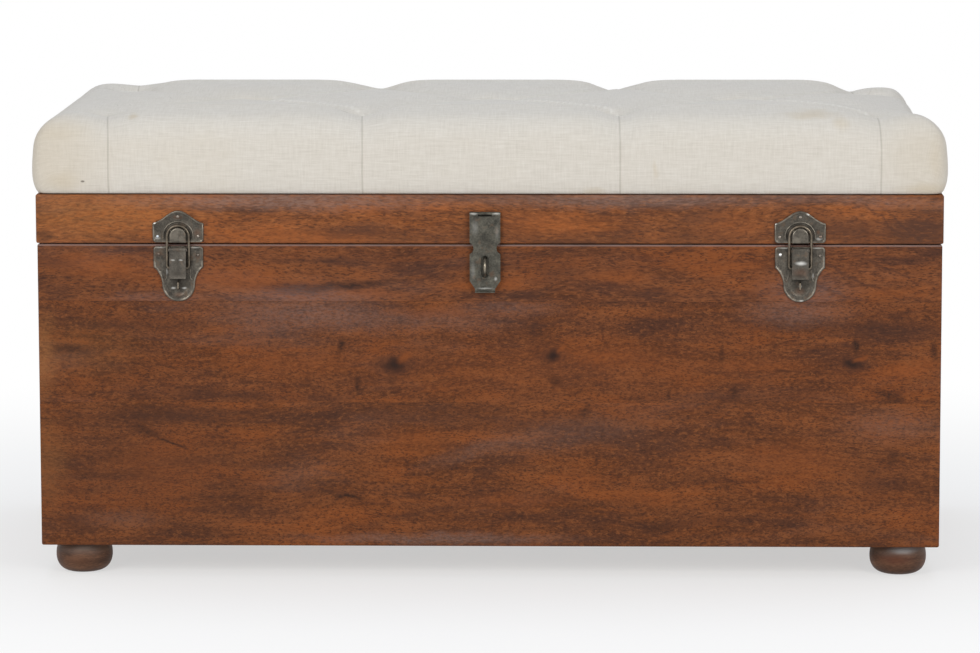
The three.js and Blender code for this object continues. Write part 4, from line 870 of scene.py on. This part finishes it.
CATCH_HALF, CATCH_FOOT, CATCH_SHOULDER, CATCH_PEAK = 25.3, 1.6, 21.0, 33.5
BOW_FOOT, BOW_CROWN = (14.0, 24.0), 9.0
BASE_HALF, BASE_HEAD, BASE_WAIST = 24.8, -2.2, -23.2
BASE_TURN, BASE_SWEEP = (19.0, -27.9), (16.3, -35.2)
LOBE_RADIUS, LOBE_MIDDLE = 16.3, -41.2
DISH_RADIUS, DISH_MIDDLE = 11.0, LOBE_MIDDLE - 0.6
DISH_STEPS = ((0.95, 0.10), (0.90, -0.15), (0.82, -0.35), (0.70, -0.25), (0.5, -0.15), (0.2, 0))
PLATE_CORNER = 3.5
PLATE_SHEET = 1.2
ON_LID, ON_CHEST = 1.1, 0.1  # how far out the backs of the plates lie
BEAD = ((0.40, 0.45), (0.45, 0.15), (0.40, 0.0), (0.50, -0.28), (0.55, -0.32), (0.40, -0.10))
BEAD_WALL = 1.3
BOSS_HALF, BOSS_TOP, BOSS_WALL = 8.4, 16.9, 1.2
BOSS_ROUND = ((0.30, 0.55), (0.45, 0.35), (0.70, 0.20), (1.20, 0.10))
BOSS_FOOT, BOSS_WALL_TOP = 0.8, 3.9  # out from the plate's back, and out from there
RING_GAP, RING_SWING, RING_WIRE = 4.0, 196, 1.15  # the embossed ring round the bail's arch
RIB_START, RIB_LEG, RIB_BEND, RIB_WIRE = (11.6, -25.5), 6.0, (8, 38), 0.8  # beside the lobe
RING_SUNK, RIB_SUNK = 0.35, 0.25  # how far their middles lie below the sheet's face
BAIL_RADIUS, BAIL_HALF_SPAN, BAIL_BEND, BAIL_REACH = 1.3, 10.9, 2.6, 5.6
BAIL_PIVOT, BAIL_ARC_MIDDLE = (-23.6, 4.3), 7.7
EYE_RADIUS, EYE_HALF, EYE_BEND, EYE_PROUD, EYE_BURIED = 0.9, 3.6, 1.6, 8.0, 8.0
EAR_THICK, EAR_SET, EAR_EYE, EAR_FOOT = 1.2, 6.1, 1.8, 0.9
EAR_LOW, EAR_HIGH = 8.1, 1.2  # how far below the pin an ear's foot ends and begins
PIVOT = (-5.6, 5.3)
CATCH_NAILS = ((-20.3, 7.6), (20.0, 8.0), (0.0, 27.6))
BASE_NAILS = ((-19.5, -10.0), (19.5, -11.0))
NAIL_DOME = ((0, -0.4), (1.7, -0.4), (1.7, 0.1), (1.394, 0.55), (0.85, 0.88), (0, 1.0))

seam_height = (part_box("lid_rail_front")[0].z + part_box("front_board_top")[1].z) / 2
chest_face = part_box("front_board_top")[0].y


def front_at(x):
    """Turns millimetres about a point on the seam into the object's own metres."""
    turn = Matrix.Rotation(math.pi / 2, 4, "X")
    return Matrix.Translation((x, chest_face, seam_height)) @ turn @ Matrix.Scale(0.001, 4)


def arc(middle, radius, start, end, steps=8):
    """Points round part of a circle, angles in degrees."""
    swings = [math.radians(start + (end - start) * k / steps) for k in range(steps + 1)]
    return [(middle[0] + radius * math.cos(a), middle[1] + radius * math.sin(a)) for a in swings]


def mirrored(right):
    """A right-hand outline, from the middle line round to the middle line, and its left half."""
    return right + [(-x, y) for x, y in reversed(right) if abs(x) > 1e-6]


def thickened(bm, face, way):
    """Draws a flat face out into a block. Returns its far face."""
    (far,) = only(bmesh.types.BMFace, bmesh.ops.extrude_face_region(bm, geom=[face]))
    bmesh.ops.translate(bm, verts=far.verts, vec=way)
    return far


def blank(bm, outline, back, wall):
    """Cuts a blank to an outline and gives it an upright edge. Returns its front face."""
    face = bm.faces.new([bm.verts.new((x, y, back)) for x, y in outline])
    return thickened(bm, face, (0, 0, wall))


def press(bm, front, steps):
    """Presses a blank's face: each step is (how far in, how far out)."""
    for inward, outward in steps:
        bmesh.ops.inset_region(bm, faces=[front], thickness=inward, use_even_offset=True)
        bmesh.ops.translate(bm, verts=front.verts, vec=(0, 0, outward))


def facing(place, way):
    """Stands something up at a place, with its z axis pointing a way."""
    return Matrix.Translation(place) @ Vector(way).to_track_quat("Z", "Y").to_matrix().to_4x4()


def ring_edges(ring):
    """The edges of a circle that an operator made."""
    return list({edge for vert in ring["verts"] for edge in vert.link_edges})


def bent_wire(bm, start, heading, radius, moves, axis=(0, 0, 1)):
    """A round wire bent in one plane. Each move is a length, or (bend radius, degrees)."""
    at, heading, axis = Vector(start), Vector(heading), Vector(axis)
    edges = ring_edges(bmesh.ops.create_circle(
        bm, cap_ends=True, radius=radius, segments=14, matrix=facing(start, heading)
    ))
    for move in moves:
        if isinstance(move, (int, float)):
            verts, edges = draw_out(bm, edges)
            bmesh.ops.translate(bm, verts=verts, vec=heading * move)
            at += heading * move
            continue
        bend, degrees = move
        centre = at + axis.cross(heading) * math.copysign(bend, degrees)
        steps = max(round(abs(degrees) / 11), 1)
        turn = Matrix.Rotation(math.radians(degrees / steps), 4, axis)
        for _ in range(steps):
            verts, edges = draw_out(bm, edges)
            bmesh.ops.rotate(bm, verts=verts, cent=centre, matrix=turn)
            at = centre + turn @ (at - centre)
            heading = turn @ heading
    bmesh.ops.contextual_create(bm, geom=edges)


def staple(middle, half, radius, buried, proud, bow):
    """A wire staple, driven in: two legs and the bow between them."""
    bm = bmesh.new()
    leg = buried + proud - radius - bow[0][0]
    bent_wire(bm, (0, middle + half, -buried), (0, 0, 1), radius, [leg, *bow, leg], (1, 0, 0))
    return bm


def fitting(bm, x, name, body, iron, *stands_for):
    """Makes a shown piece of iron drawn in millimetres about a point on the seam."""
    bmesh.ops.recalc_face_normals(bm, faces=bm.faces)
    bmesh.ops.transform(bm, matrix=front_at(x), verts=bm.verts)
    finished(bm, name, body, iron, stands_for)


# Marks for the fittings: painted highlights, painted shade in hollows and under parts, and rust.
GLINT, PAINTED_SHADE, RUST = (0.60, 0.59, 0.56), (0.020, 0.017, 0.013), (0.125, 0.058, 0.032)
NICK_DRIFT = 0.6  # how far a mark's ragged edge drifts off it, in millimetres


def aged_iron(name, bright, dark, crest, shine=0.35, marks=()):
    """Blackened iron. `crest` is how far out from the chest's face, in millimetres, it starts to
    be rubbed bright, with a highlight painted over the wear, and where it is brightest. `marks`
    are spots of painted highlight, painted shade and rust."""
    iron = Finish(name, {"Specular IOR Level": 0.5})
    patch = iron.noise((110, 110, 110), 4, 0.6)
    grit = iron.noise((600, 600, 600), 3, 0.65)
    middle = [0.45 * a + 0.55 * b for a, b in zip(bright, dark)]
    stops = [(0.36, dark), (0.50, middle), (0.64, bright)]
    colour = iron.shades(0.55 * patch + 0.45 * grit, stops)
    rust = iron.between(iron.noise((170, 170, 170), 3, move=(3, 1, 5)), 0.54, 0.72)
    colour = iron.mix(rust * 0.60, colour, (0.105, 0.066, 0.038))
    # The outer crests are lighter: rubbed bare in patches, and a painted highlight.
    rubbed_and_highlit = iron.between((chest_face - iron.along("Y")) * 1000, *crest)
    worn = iron.between(iron.noise((130, 130, 130), move=(7, 3, 2)), 0.40, 0.60, 0.25, 1)
    colour = iron.mix(rubbed_and_highlit * worn * shine, colour, [min(2.6 * c, 1) for c in bright])
    colour = iron.marked(colour, marks, iron.wander(iron.place(), 240, (0.0012, 0, 0.0012)))
    iron.bump(0.4 * patch + 0.6 * grit, 0.0002, 0.6)
    return iron.done(
        Base_Color=colour,
        Metallic=0.80 - 0.4 * rust,
        Roughness=0.42 + 0.24 * (patch - 0.5) + 0.20 * rust - 0.12 * rubbed_and_highlit,
    )


def marks_at(x, marks):
    """Marks about a fitting's middle on the seam, as marks on the object."""
    return moved(marks, 1000 * x + NICK_DRIFT, 1000 * seam_height + NICK_DRIFT)


def softened(node, body, finish, edge, crease=40):
    """A hard solid with its edges rubbed round."""
    piece = finished(merged_copy(node), f"{node}_metal", body, finish, [node], crease)
    worn = piece.modifiers.new("worn_edges", "BEVEL")
    worn.width = edge
    worn.segments = 2
    worn.limit_method = "ANGLE"
    worn.angle_limit = math.radians(crease)
    piece.modifiers.new("flat_faces", "WEIGHTED_NORMAL").keep_sharp = True


PLATE_TONES = (0.128, 0.113, 0.092), (0.036, 0.032, 0.026)  # bright and dark
LEVER_TONES = (0.120, 0.106, 0.088), (0.048, 0.043, 0.036)
WIRE_TONES = (0.135, 0.112, 0.084), (0.052, 0.042, 0.031)
NAIL_TONES = (0.200, 0.175, 0.150), (0.085, 0.068, 0.055)
# Painted shade in the hollows beside the catch's boss; the catch's marks add painted glints and
# rust.
CATCH_HOLLOWS = (PAINTED_SHADE, [(-13, 9, 2, 6, 60), (13, 9, 2, 6, 60)])
CATCH_MARKS = {
    "left": [
        (GLINT, [(-23.2, 21.4, 1.3, 1.3, 80), (-20.5, 6, 3.2, 1.6, 45)]),
        (RUST, [(19.5, 11, 4.5, 5, 45), (0, 27, 6, 2.2, 45)]),
        CATCH_HOLLOWS,
    ],
    "right": [
        (GLINT, [(7.6, 30.6, 1.8, 1.3, 75), (-24, 21, 1.2, 1, 50), (18.5, 6, 3.4, 1.6, 45)]),
        (RUST, [(18, 12.5, 2, 2.6, 60)]),
        CATCH_HOLLOWS,
    ],
}
# Painted shade in two hollows on the base plate; the base's marks add painted glints, painted
# shade round the eye and under the lever, and rust.
BASE_HOLLOWS = (PAINTED_SHADE, [(-11, -15, 1.4, 10, 60), (11, -15, 1.4, 10, 60)])
BASE_MARKS = {
    "left": [
        (GLINT, [(-5.2, -44.2, 2.7, 1.2, 85), (5.4, -44.2, 2.7, 1.2, 85),
            (-11.4, -28, 0.9, 3.4, 60), (-18, -3.6, 4.5, 0.8, 45), (17, -3.6, 5, 0.8, 50)]),
        (PAINTED_SHADE, [(0, -41, 9, 7, 60), (0, -35, 10, 3, 85)]),
        (RUST, [(19.5, -12, 4, 3, 35), (-19.5, -10, 4, 3, 35), (0, -51, 6, 3, 35)]),
        BASE_HOLLOWS,
    ],
    "right": [
        (GLINT, [(1.6, -56, 2.4, 0.9, 70), (13, -31, 0.9, 3, 40), (-16, -3.6, 5, 0.8, 35),
            (17, -3.6, 5, 0.8, 45)]),
        (PAINTED_SHADE, [(0, -41, 9, 7, 55), (0, -34.5, 10, 3, 80)]),
        (RUST, [(0, -47, 6, 4, 45)]),
        (GLINT, [(0.5, -42, 1.6, 1.6, 50)]),
        BASE_HOLLOWS,
    ],
}
# Painted glints at the lever's bend, painted shade low on it and under its top, and rust.
LEVER_MARKS = {
    "left": [
        (GLINT, [(-4.8, -15.2, 2.4, 0.8, 55), (3.2, -15.2, 2.2, 0.8, 50)]),
        (PAINTED_SHADE, [(0, -29, 9, 5, 50), (0, -6.5, 9, 1.2, 35)]),
    ],
    "right": [
        (GLINT, [(0.6, -17.6, 6.2, 2.2, 95)]),
        (RUST, [(0, -27, 9, 5, 45)]),
        (PAINTED_SHADE, [(0, -31, 9, 3, 50), (0, -13, 8, 1.2, 25)]),
    ],
}
# Painted highlights on two nail heads, and rust on two others.
NAIL_MARKS = {
    "left": [
        ((0.62, 0.68, 0.74), [(-20.3, 7.6, 2.2, 2, 80)]),
        (RUST, [(-19.5, -10, 2.2, 2, 30)]),
    ],
    "right": [
        ((0.90, 0.91, 0.90), [(-19.5, -10, 2.4, 2.2, 100)]),
        (RUST, [(20, 8, 2.2, 2.2, 50)]),
    ],
}

catch_outline = mirrored(
    [(0, CATCH_FOOT)]
    + arc((CATCH_HALF - PLATE_CORNER, CATCH_FOOT + PLATE_CORNER), PLATE_CORNER, -90, 0)
    + sweep((CATCH_HALF, CATCH_SHOULDER), BOW_FOOT, (BOW_CROWN, CATCH_PEAK), (0, CATCH_PEAK))
    + [(0, CATCH_PEAK)]
)
boss_outline = [(BOSS_HALF, CATCH_FOOT)] + arc(
    (0, BOSS_TOP - BOSS_HALF), BOSS_HALF, 0, 180, 24
) + [(-BOSS_HALF, CATCH_FOOT)]
base_outline = mirrored(
    [(0, BASE_HEAD)]
    + arc((BASE_HALF - PLATE_CORNER, BASE_HEAD - PLATE_CORNER), PLATE_CORNER, 90, 0)
    + sweep((BASE_HALF, BASE_WAIST), BASE_TURN, BASE_SWEEP, (LOBE_RADIUS, LOBE_MIDDLE))
    + arc((0, LOBE_MIDDLE), LOBE_RADIUS, 0, -90, 16)[:-1]
    + [(0, LOBE_MIDDLE - LOBE_RADIUS)]
)


def catch_plate():
    """Bow-topped, with a hollow boss for the bail and an embossed ring round the bail's arch."""
    bm = bmesh.new()
    press(bm, blank(bm, catch_outline, ON_LID, BEAD_WALL), BEAD)
    start = blank(bm, boss_outline, ON_LID + BOSS_FOOT, BOSS_WALL_TOP)
    floor_edge = next(
        edge for edge in start.edges if all(abs(v.co.y - CATCH_FOOT) < 1e-4 for v in edge.verts)
    )
    mouth = next(face for face in floor_edge.link_faces if face is not start)
    bmesh.ops.inset_region(bm, faces=[mouth], thickness=BOSS_WALL * 0.8, use_even_offset=True)
    deep = bmesh.ops.extrude_discrete_faces(bm, faces=[mouth])["faces"][0]
    bmesh.ops.translate(bm, verts=deep.verts, vec=(0, BOSS_TOP - 2 * BOSS_WALL - CATCH_FOOT, 0))
    press(bm, start, BOSS_ROUND)
    ring = BAIL_HALF_SPAN + RING_GAP
    lean = math.radians((RING_SWING - 180) / 2)
    aside, up = math.cos(lean), math.sin(lean)
    foot = (-ring * aside, BAIL_ARC_MIDDLE - ring * up, ON_LID + PLATE_SHEET - RING_SUNK)
    bent_wire(bm, foot, (-up, aside, 0), RING_WIRE, [(ring, -RING_SWING)])
    return bm


def base_plate():
    """Ogee-sided plate with a dished lobe under the lever's lip, and two ears for the pin."""
    bm = bmesh.new()
    front = blank(bm, base_outline, ON_CHEST, BEAD_WALL)
    press(bm, front, BEAD)
    level = front.verts[0].co.z
    rim = list(front.edges)
    bmesh.ops.delete(bm, geom=[front], context="FACES_ONLY")
    edges = ring_edges(bmesh.ops.create_circle(
        bm, radius=DISH_RADIUS, segments=40, matrix=Matrix.Translation((0, DISH_MIDDLE, level))
    ))
    bmesh.ops.triangle_fill(bm, edges=rim + edges, use_beauty=True)
    last = 1
    lie = Matrix.Translation((0, -DISH_MIDDLE, 0))
    for size, drop in DISH_STEPS:
        verts, edges = draw_out(bm, edges)
        bmesh.ops.scale(bm, verts=verts, space=lie, vec=(size / last, size / last, 1))
        bmesh.ops.translate(bm, verts=verts, vec=(0, 0, drop))
        last = size
    bmesh.ops.contextual_create(bm, geom=edges)
    (rib_x, rib_y), (bend, degrees) = RIB_START, RIB_BEND
    for side in (-1, 1):
        start = (side * rib_x, rib_y, level - RIB_SUNK)
        bent_wire(bm, start, (0, -1, 0), RIB_WIRE, [RIB_LEG, (bend, side * degrees)])
        ear = [(EAR_FOOT, PIVOT[0] - EAR_LOW), (EAR_FOOT, PIVOT[0] - EAR_HIGH)] + [
            (PIVOT[1] - dy, PIVOT[0] + dx) for dx, dy in arc((0, 0), EAR_EYE, 60, -150, 12)
        ]
        x = side * EAR_SET - EAR_THICK / 2
        face = bm.faces.new([bm.verts.new((x, up, out)) for out, up in ear])
        thickened(bm, face, (EAR_THICK, 0, 0))
    return bm


for side in ("left", "right"):
    across = middle_of(f"{side}_latch_lever").x
    catch_iron, base_iron, nail_iron, lever_iron, bail_iron, eye_iron = (
        aged_iron(f"{side}_{part}_iron", *tones, crest, shine, marks_at(across, marks))
        for part, tones, crest, shine, marks in (
            ("catch", PLATE_TONES, (2.45, 2.95), 0.3, CATCH_MARKS[side]),
            ("base", PLATE_TONES, (1.45, 1.95), 0.4, BASE_MARKS[side]),
            ("nail", NAIL_TONES, (1.5, 3.2), 0.3, NAIL_MARKS[side]),
            ("lever", LEVER_TONES, (9.6, 10.6), 0.10, LEVER_MARKS[side]),
            ("bail", WIRE_TONES, (4.6, 5.6), 0.35, []),
            ("eye", WIRE_TONES, (7.0, 8.0), 0.6, []),
        )
    )
    fitting(catch_plate(), across, f"{side}_catch_plate", "lid", catch_iron, f"{side}_latch_catch")
    fitting(base_plate(), across, f"{side}_base_plate", "chest", base_iron, f"{side}_latch_base")
    bail = bmesh.new()
    run = BAIL_HALF_SPAN - BAIL_BEND - BAIL_REACH
    rise = BAIL_ARC_MIDDLE - BAIL_PIVOT[0] - BAIL_BEND
    bent_wire(
        bail, (-BAIL_REACH, *BAIL_PIVOT), (-1, 0, 0), BAIL_RADIUS,
        [run, (BAIL_BEND, -90), rise, (BAIL_HALF_SPAN, -180), rise, (BAIL_BEND, -90), run],
    )
    fitting(bail, across, f"{side}_bail_wire", f"{side}_bail", bail_iron, f"{side}_latch_bail")
    eye_bow = [(EYE_BEND, 90), 2 * (EYE_HALF - EYE_BEND), (EYE_BEND, 90)]
    eye = staple(LOBE_MIDDLE, EYE_HALF, EYE_RADIUS, EYE_BURIED, EYE_PROUD, eye_bow)
    fitting(eye, across, f"{side}_padlock_eye", "chest", eye_iron, f"{side}_latch_eye")
    softened(f"{side}_latch_lever", f"{side}_lever", lever_iron, 0.00035)
    softened(f"{side}_latch_pin", "chest", nail_iron, 0.0002)
    for places, level, body, plate in (
        (CATCH_NAILS, ON_LID + PLATE_SHEET, "lid", "catch"),
        (BASE_NAILS, ON_CHEST + PLATE_SHEET, "chest", "base"),
    ):
        nails = bmesh.new()
        for x, y in places:
            turned(nails, NAIL_DOME, (x, y, level), steps=20)
        fitting(nails, across, f"{side}_{plate}_nails", body, nail_iron)

# ================================================================ hasp
# A plain slotted hasp cut from heavier sheet and left nearly as it came from the forge, greyer
# than the latches: strap, fixed leaf and pin on the lid, a staple on its own plate on the chest.

STAPLE_MIDDLE, STAPLE_HALF, STAPLE_RADIUS = -21.9, 8.15, 1.4
STAPLE_BURIED, STAPLE_PROUD = 10.0, 14.8
# Painted highlights on the knuckles and lip, painted shade under the knuckles, in the slot and
# below the lip, and rust.
HASP_MARKS = [
    (GLINT, [(-11.5, 31, 4.6, 1.1, 55), (11.5, 31, 4.6, 1.1, 55)]),
    (PAINTED_SHADE, [(0, 28.4, 16, 0.6, 60), (0, 29.6, 7, 2.2, 75)]),
    (GLINT, [(10.5, -34, 1.6, 2.2, 55), (-10, 17, 4, 8, 16), (0, -43.6, 8.6, 0.9, 45)]),
    (PAINTED_SHADE, [(0, -45.4, 9, 0.5, 60), (0, -21.9, 5, 12.5, 45), (4, 4, 8, 12, 25)]),
    (GLINT, [(12, 12, 2, 8, 12), (-12, -26, 2.5, 10, 14)]),
    (RUST, [(7, -30, 3, 3, 30), (-6, -35, 3, 2, 30)]),
]

hasp_across = middle_of("hasp_strap").x
hasp_iron = aged_iron(
    "hasp_iron", (0.128, 0.120, 0.096), (0.038, 0.036, 0.030), (4.9, 5.3), 0.05,
    marks_at(hasp_across, HASP_MARKS),
)
staple_iron = aged_iron(
    "staple_iron", (0.150, 0.132, 0.102), (0.055, 0.048, 0.037), (12.8, 14.8), 0.6
)
pin_iron = aged_iron("pin_iron", *NAIL_TONES, (3.0, 6.0), 0.3)
for node, body, iron, edge in (
    ("hasp_strap", "hasp_strap", hasp_iron, 0.00025),
    ("hasp_leaf", "lid", hasp_iron, 0.0002),
    ("hasp_pin", "lid", pin_iron, 0.0001),
    ("hasp_staple_plate", "chest", hasp_iron, 0.0002),
):
    softened(node, body, iron, edge)
hasp_staple = staple(
    STAPLE_MIDDLE, STAPLE_HALF, STAPLE_RADIUS, STAPLE_BURIED, STAPLE_PROUD, [(STAPLE_HALF, 180)]
)
fitting(hasp_staple, hasp_across, "hasp_staple_wire", "chest", staple_iron, "hasp_staple")

# ================================================================ hinges and lid stay
# Two zinc-plated butt hinges on the back, each leaf held by three countersunk screws, and inside
# on the right a slotted bar that slides on one screw as it turns on the other.

SCREW_RADIUS, SCREW_DOME, SCREW_SLOT, SLOT_DEPTH = 0.0034, 0.0004, 0.0007, 0.0008
LEAF_SCREWS, SCREW_INSET = (-0.020, 0, 0.020), 0.011  # along the leaf, and in from its edge
LEAF_SHEET = 0.0008


def zinc(name, tone):
    metal = Finish(name, {"Specular IOR Level": 0.5})
    spangle = metal.noise((240, 240, 240), 3, 0.6)
    rubs = metal.noise((60, 900, 900))
    stain = metal.between(metal.noise((70, 70, 70), 3, move=(2, 4, 6)), 0.56, 0.76)
    colour = metal.shades(spangle, [
        (0.35, [0.72 * c for c in tone]), (0.5, tone), (0.66, [1.18 * c for c in tone]),
    ])
    colour = metal.mix(stain * 0.5, colour, (0.20, 0.15, 0.10))
    metal.bump(0.5 * spangle + 0.5 * rubs, 0.0001, 0.4)
    return metal.done(
        Base_Color=colour,
        Metallic=0.95 - 0.3 * stain,
        Roughness=0.30 + 0.20 * spangle + 0.15 * stain,
    )


def slotted_screw(centre, out):
    """A countersunk screw head, a little domed, with its slot sawn across it."""
    bm = bmesh.new()
    disc = bmesh.ops.create_circle(bm, cap_ends=True, radius=SCREW_RADIUS, segments=24)["verts"]
    top = thickened(bm, disc[0].link_faces[0], (0, 0, SLOT_DEPTH + SCREW_DOME))
    bmesh.ops.inset_region(bm, faces=[top], thickness=0.25 * SCREW_RADIUS)
    bmesh.ops.translate(bm, verts=top.verts, vec=(0, 0, SCREW_DOME))
    for x in (-SCREW_SLOT / 2, SCREW_SLOT / 2):
        whole = [*bm.verts, *bm.edges, *bm.faces]
        bmesh.ops.bisect_plane(bm, geom=whole, plane_co=(x, 0, 0), plane_no=(1, 0, 0))
    middles = ((face, face.calc_center_median()) for face in bm.faces if face.normal.z > 0.9)
    groove = [face for face, at in middles if abs(at.x) < SCREW_SLOT / 2 and at.z > SLOT_DEPTH]
    sunk = only(bmesh.types.BMVert, bmesh.ops.extrude_face_region(bm, geom=groove))
    bmesh.ops.delete(bm, geom=groove, context="FACES_KEEP_BOUNDARY")
    bmesh.ops.translate(bm, verts=sunk, vec=(0, 0, -SLOT_DEPTH))
    bmesh.ops.transform(bm, matrix=facing(centre, out), verts=bm.verts)
    return bm


hinge_zinc = zinc("hinge_zinc", (0.42, 0.41, 0.38))
screw_zinc = zinc("screw_zinc", (0.50, 0.49, 0.46))
for side in ("left", "right"):
    softened(f"{side}_hinge_pin", "chest", screw_zinc, 0.0002)
    for leaf in ("chest", "lid"):
        node = f"{side}_hinge_{leaf}_leaf"
        softened(node, leaf, hinge_zinc, 0.0002)
        low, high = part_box(node)
        height = low.z + SCREW_INSET if leaf == "chest" else high.z - SCREW_INSET
        held_by = bpy.data.meshes.new(f"{node}_screw")
        screws = bmesh.new()
        for aside in LEAF_SCREWS:
            place = (middle_of(node).x + aside, low.y + LEAF_SHEET, height)
            head = slotted_screw(place, (0, 1, 0))
            head.to_mesh(held_by)
            head.free()
            screws.from_mesh(held_by)
        bpy.data.meshes.remove(held_by)
        finished(screws, f"{side}_{leaf}_leaf_screws", leaf, screw_zinc)
for node, body, metal in (
    ("lid_stay_bar", "lid_stay", hinge_zinc),
    ("lid_stay_guide_screw", "chest", screw_zinc),
    ("lid_stay_lid_screw", "lid", screw_zinc),
):
    softened(node, body, metal, 0.0003)

# ================================================================ studio
# A pale floor that runs out to white, and soft lamps in front on both sides and overhead.

bpy.context.scene.view_settings.view_transform = "Standard"
for name, place, aim, size, power, colour in (
    ("lamp_left", (-1.7, -2.5, 1.5), (0, 0, 0.25), (1.2, 1.2), 36, (1.0, 0.985, 0.96)),
    ("lamp_right", (1.9, -2.4, 1.4), (0, 0, 0.25), (1.2, 1.2), 32, (1.0, 0.985, 0.96)),
    ("lamp_above", (0.0, 0.3, 2.4), (0, 0.1, 0.4), (2.2, 1.2), 17, (0.73, 0.84, 1.0)),
):
    lamp = bpy.data.lights.new(name, "AREA")
    lamp.shape = "RECTANGLE"
    lamp.size, lamp.size_y = size
    lamp.energy = power
    lamp.color = colour
    stand = placed(name, lamp)
    stand.location = place
    stand.rotation_euler = (Vector(aim) - Vector(place)).to_track_quat("-Z", "Y").to_euler()


def seen_white(finish, white, share):
    """Whatever looks straight at it sees plain white, and it lights everything else as it is."""
    straight, mirrored_ray, through = (
        finish.node("LightPath", output=name)
        for name in ("Is Camera Ray", "Is Glossy Ray", "Is Transmission Ray")
    )
    plain = finish.node(white, {}, {"Color": (1, 1, 1, 1), "Strength": 1})
    both = finish.node("MixShader", {}, {
        0: straight.over(mirrored_ray).over(through) * share,
        1: Signal(finish, finish.surface.outputs[0]),
        2: plain,
    })
    finish.feed(finish.last, {"Surface": both})


floor = bmesh.new()
bmesh.ops.create_grid(floor, x_segments=1, y_segments=1, size=14)
floor_mesh = bpy.data.meshes.new("studio_floor")
floor.to_mesh(floor_mesh)
floor.free()
placed("studio_floor", floor_mesh)
floor_finish = Finish("studio_white", {"Base Color": (0.90, 0.90, 0.90, 1), "Roughness": 0.9})
far = floor_finish.spot(floor_finish.place(), (0, 0, 0), (1, 0.72, 1))
seen_white(floor_finish, "Emission", floor_finish.between(far, 0.3, 1.6, 0.55, 1.0))
floor_mesh.materials.append(floor_finish.material)

world = bpy.data.worlds.new("studio_air")
bpy.context.scene.world = world
air = Finish("studio_air", {"Color": (1, 1, 1, 1), "Strength": 0.42}, world)
seen_white(air, "Background", 1)

CAMERA_PLACE = (0.105, -4.300, 0.859)
CAMERA_PITCH = 7.024  # degrees below level
CAMERA_YAW, CAMERA_ROLL = 1.446, -0.112
lens = bpy.data.cameras.new("studio_camera")
lens.sensor_width = 36
lens.lens = 153.0
lens.shift_y = -0.10
lens.clip_end = 60
camera = placed("studio_camera", lens)
camera.matrix_world = (
    Matrix.Translation(CAMERA_PLACE)
    @ Matrix.Rotation(math.radians(CAMERA_YAW), 4, "Z")
    @ Matrix.Rotation(math.radians(90 - CAMERA_PITCH), 4, "X")
    @ Matrix.Rotation(math.radians(CAMERA_ROLL), 4, "Z")
)
bpy.context.scene.camera = camera
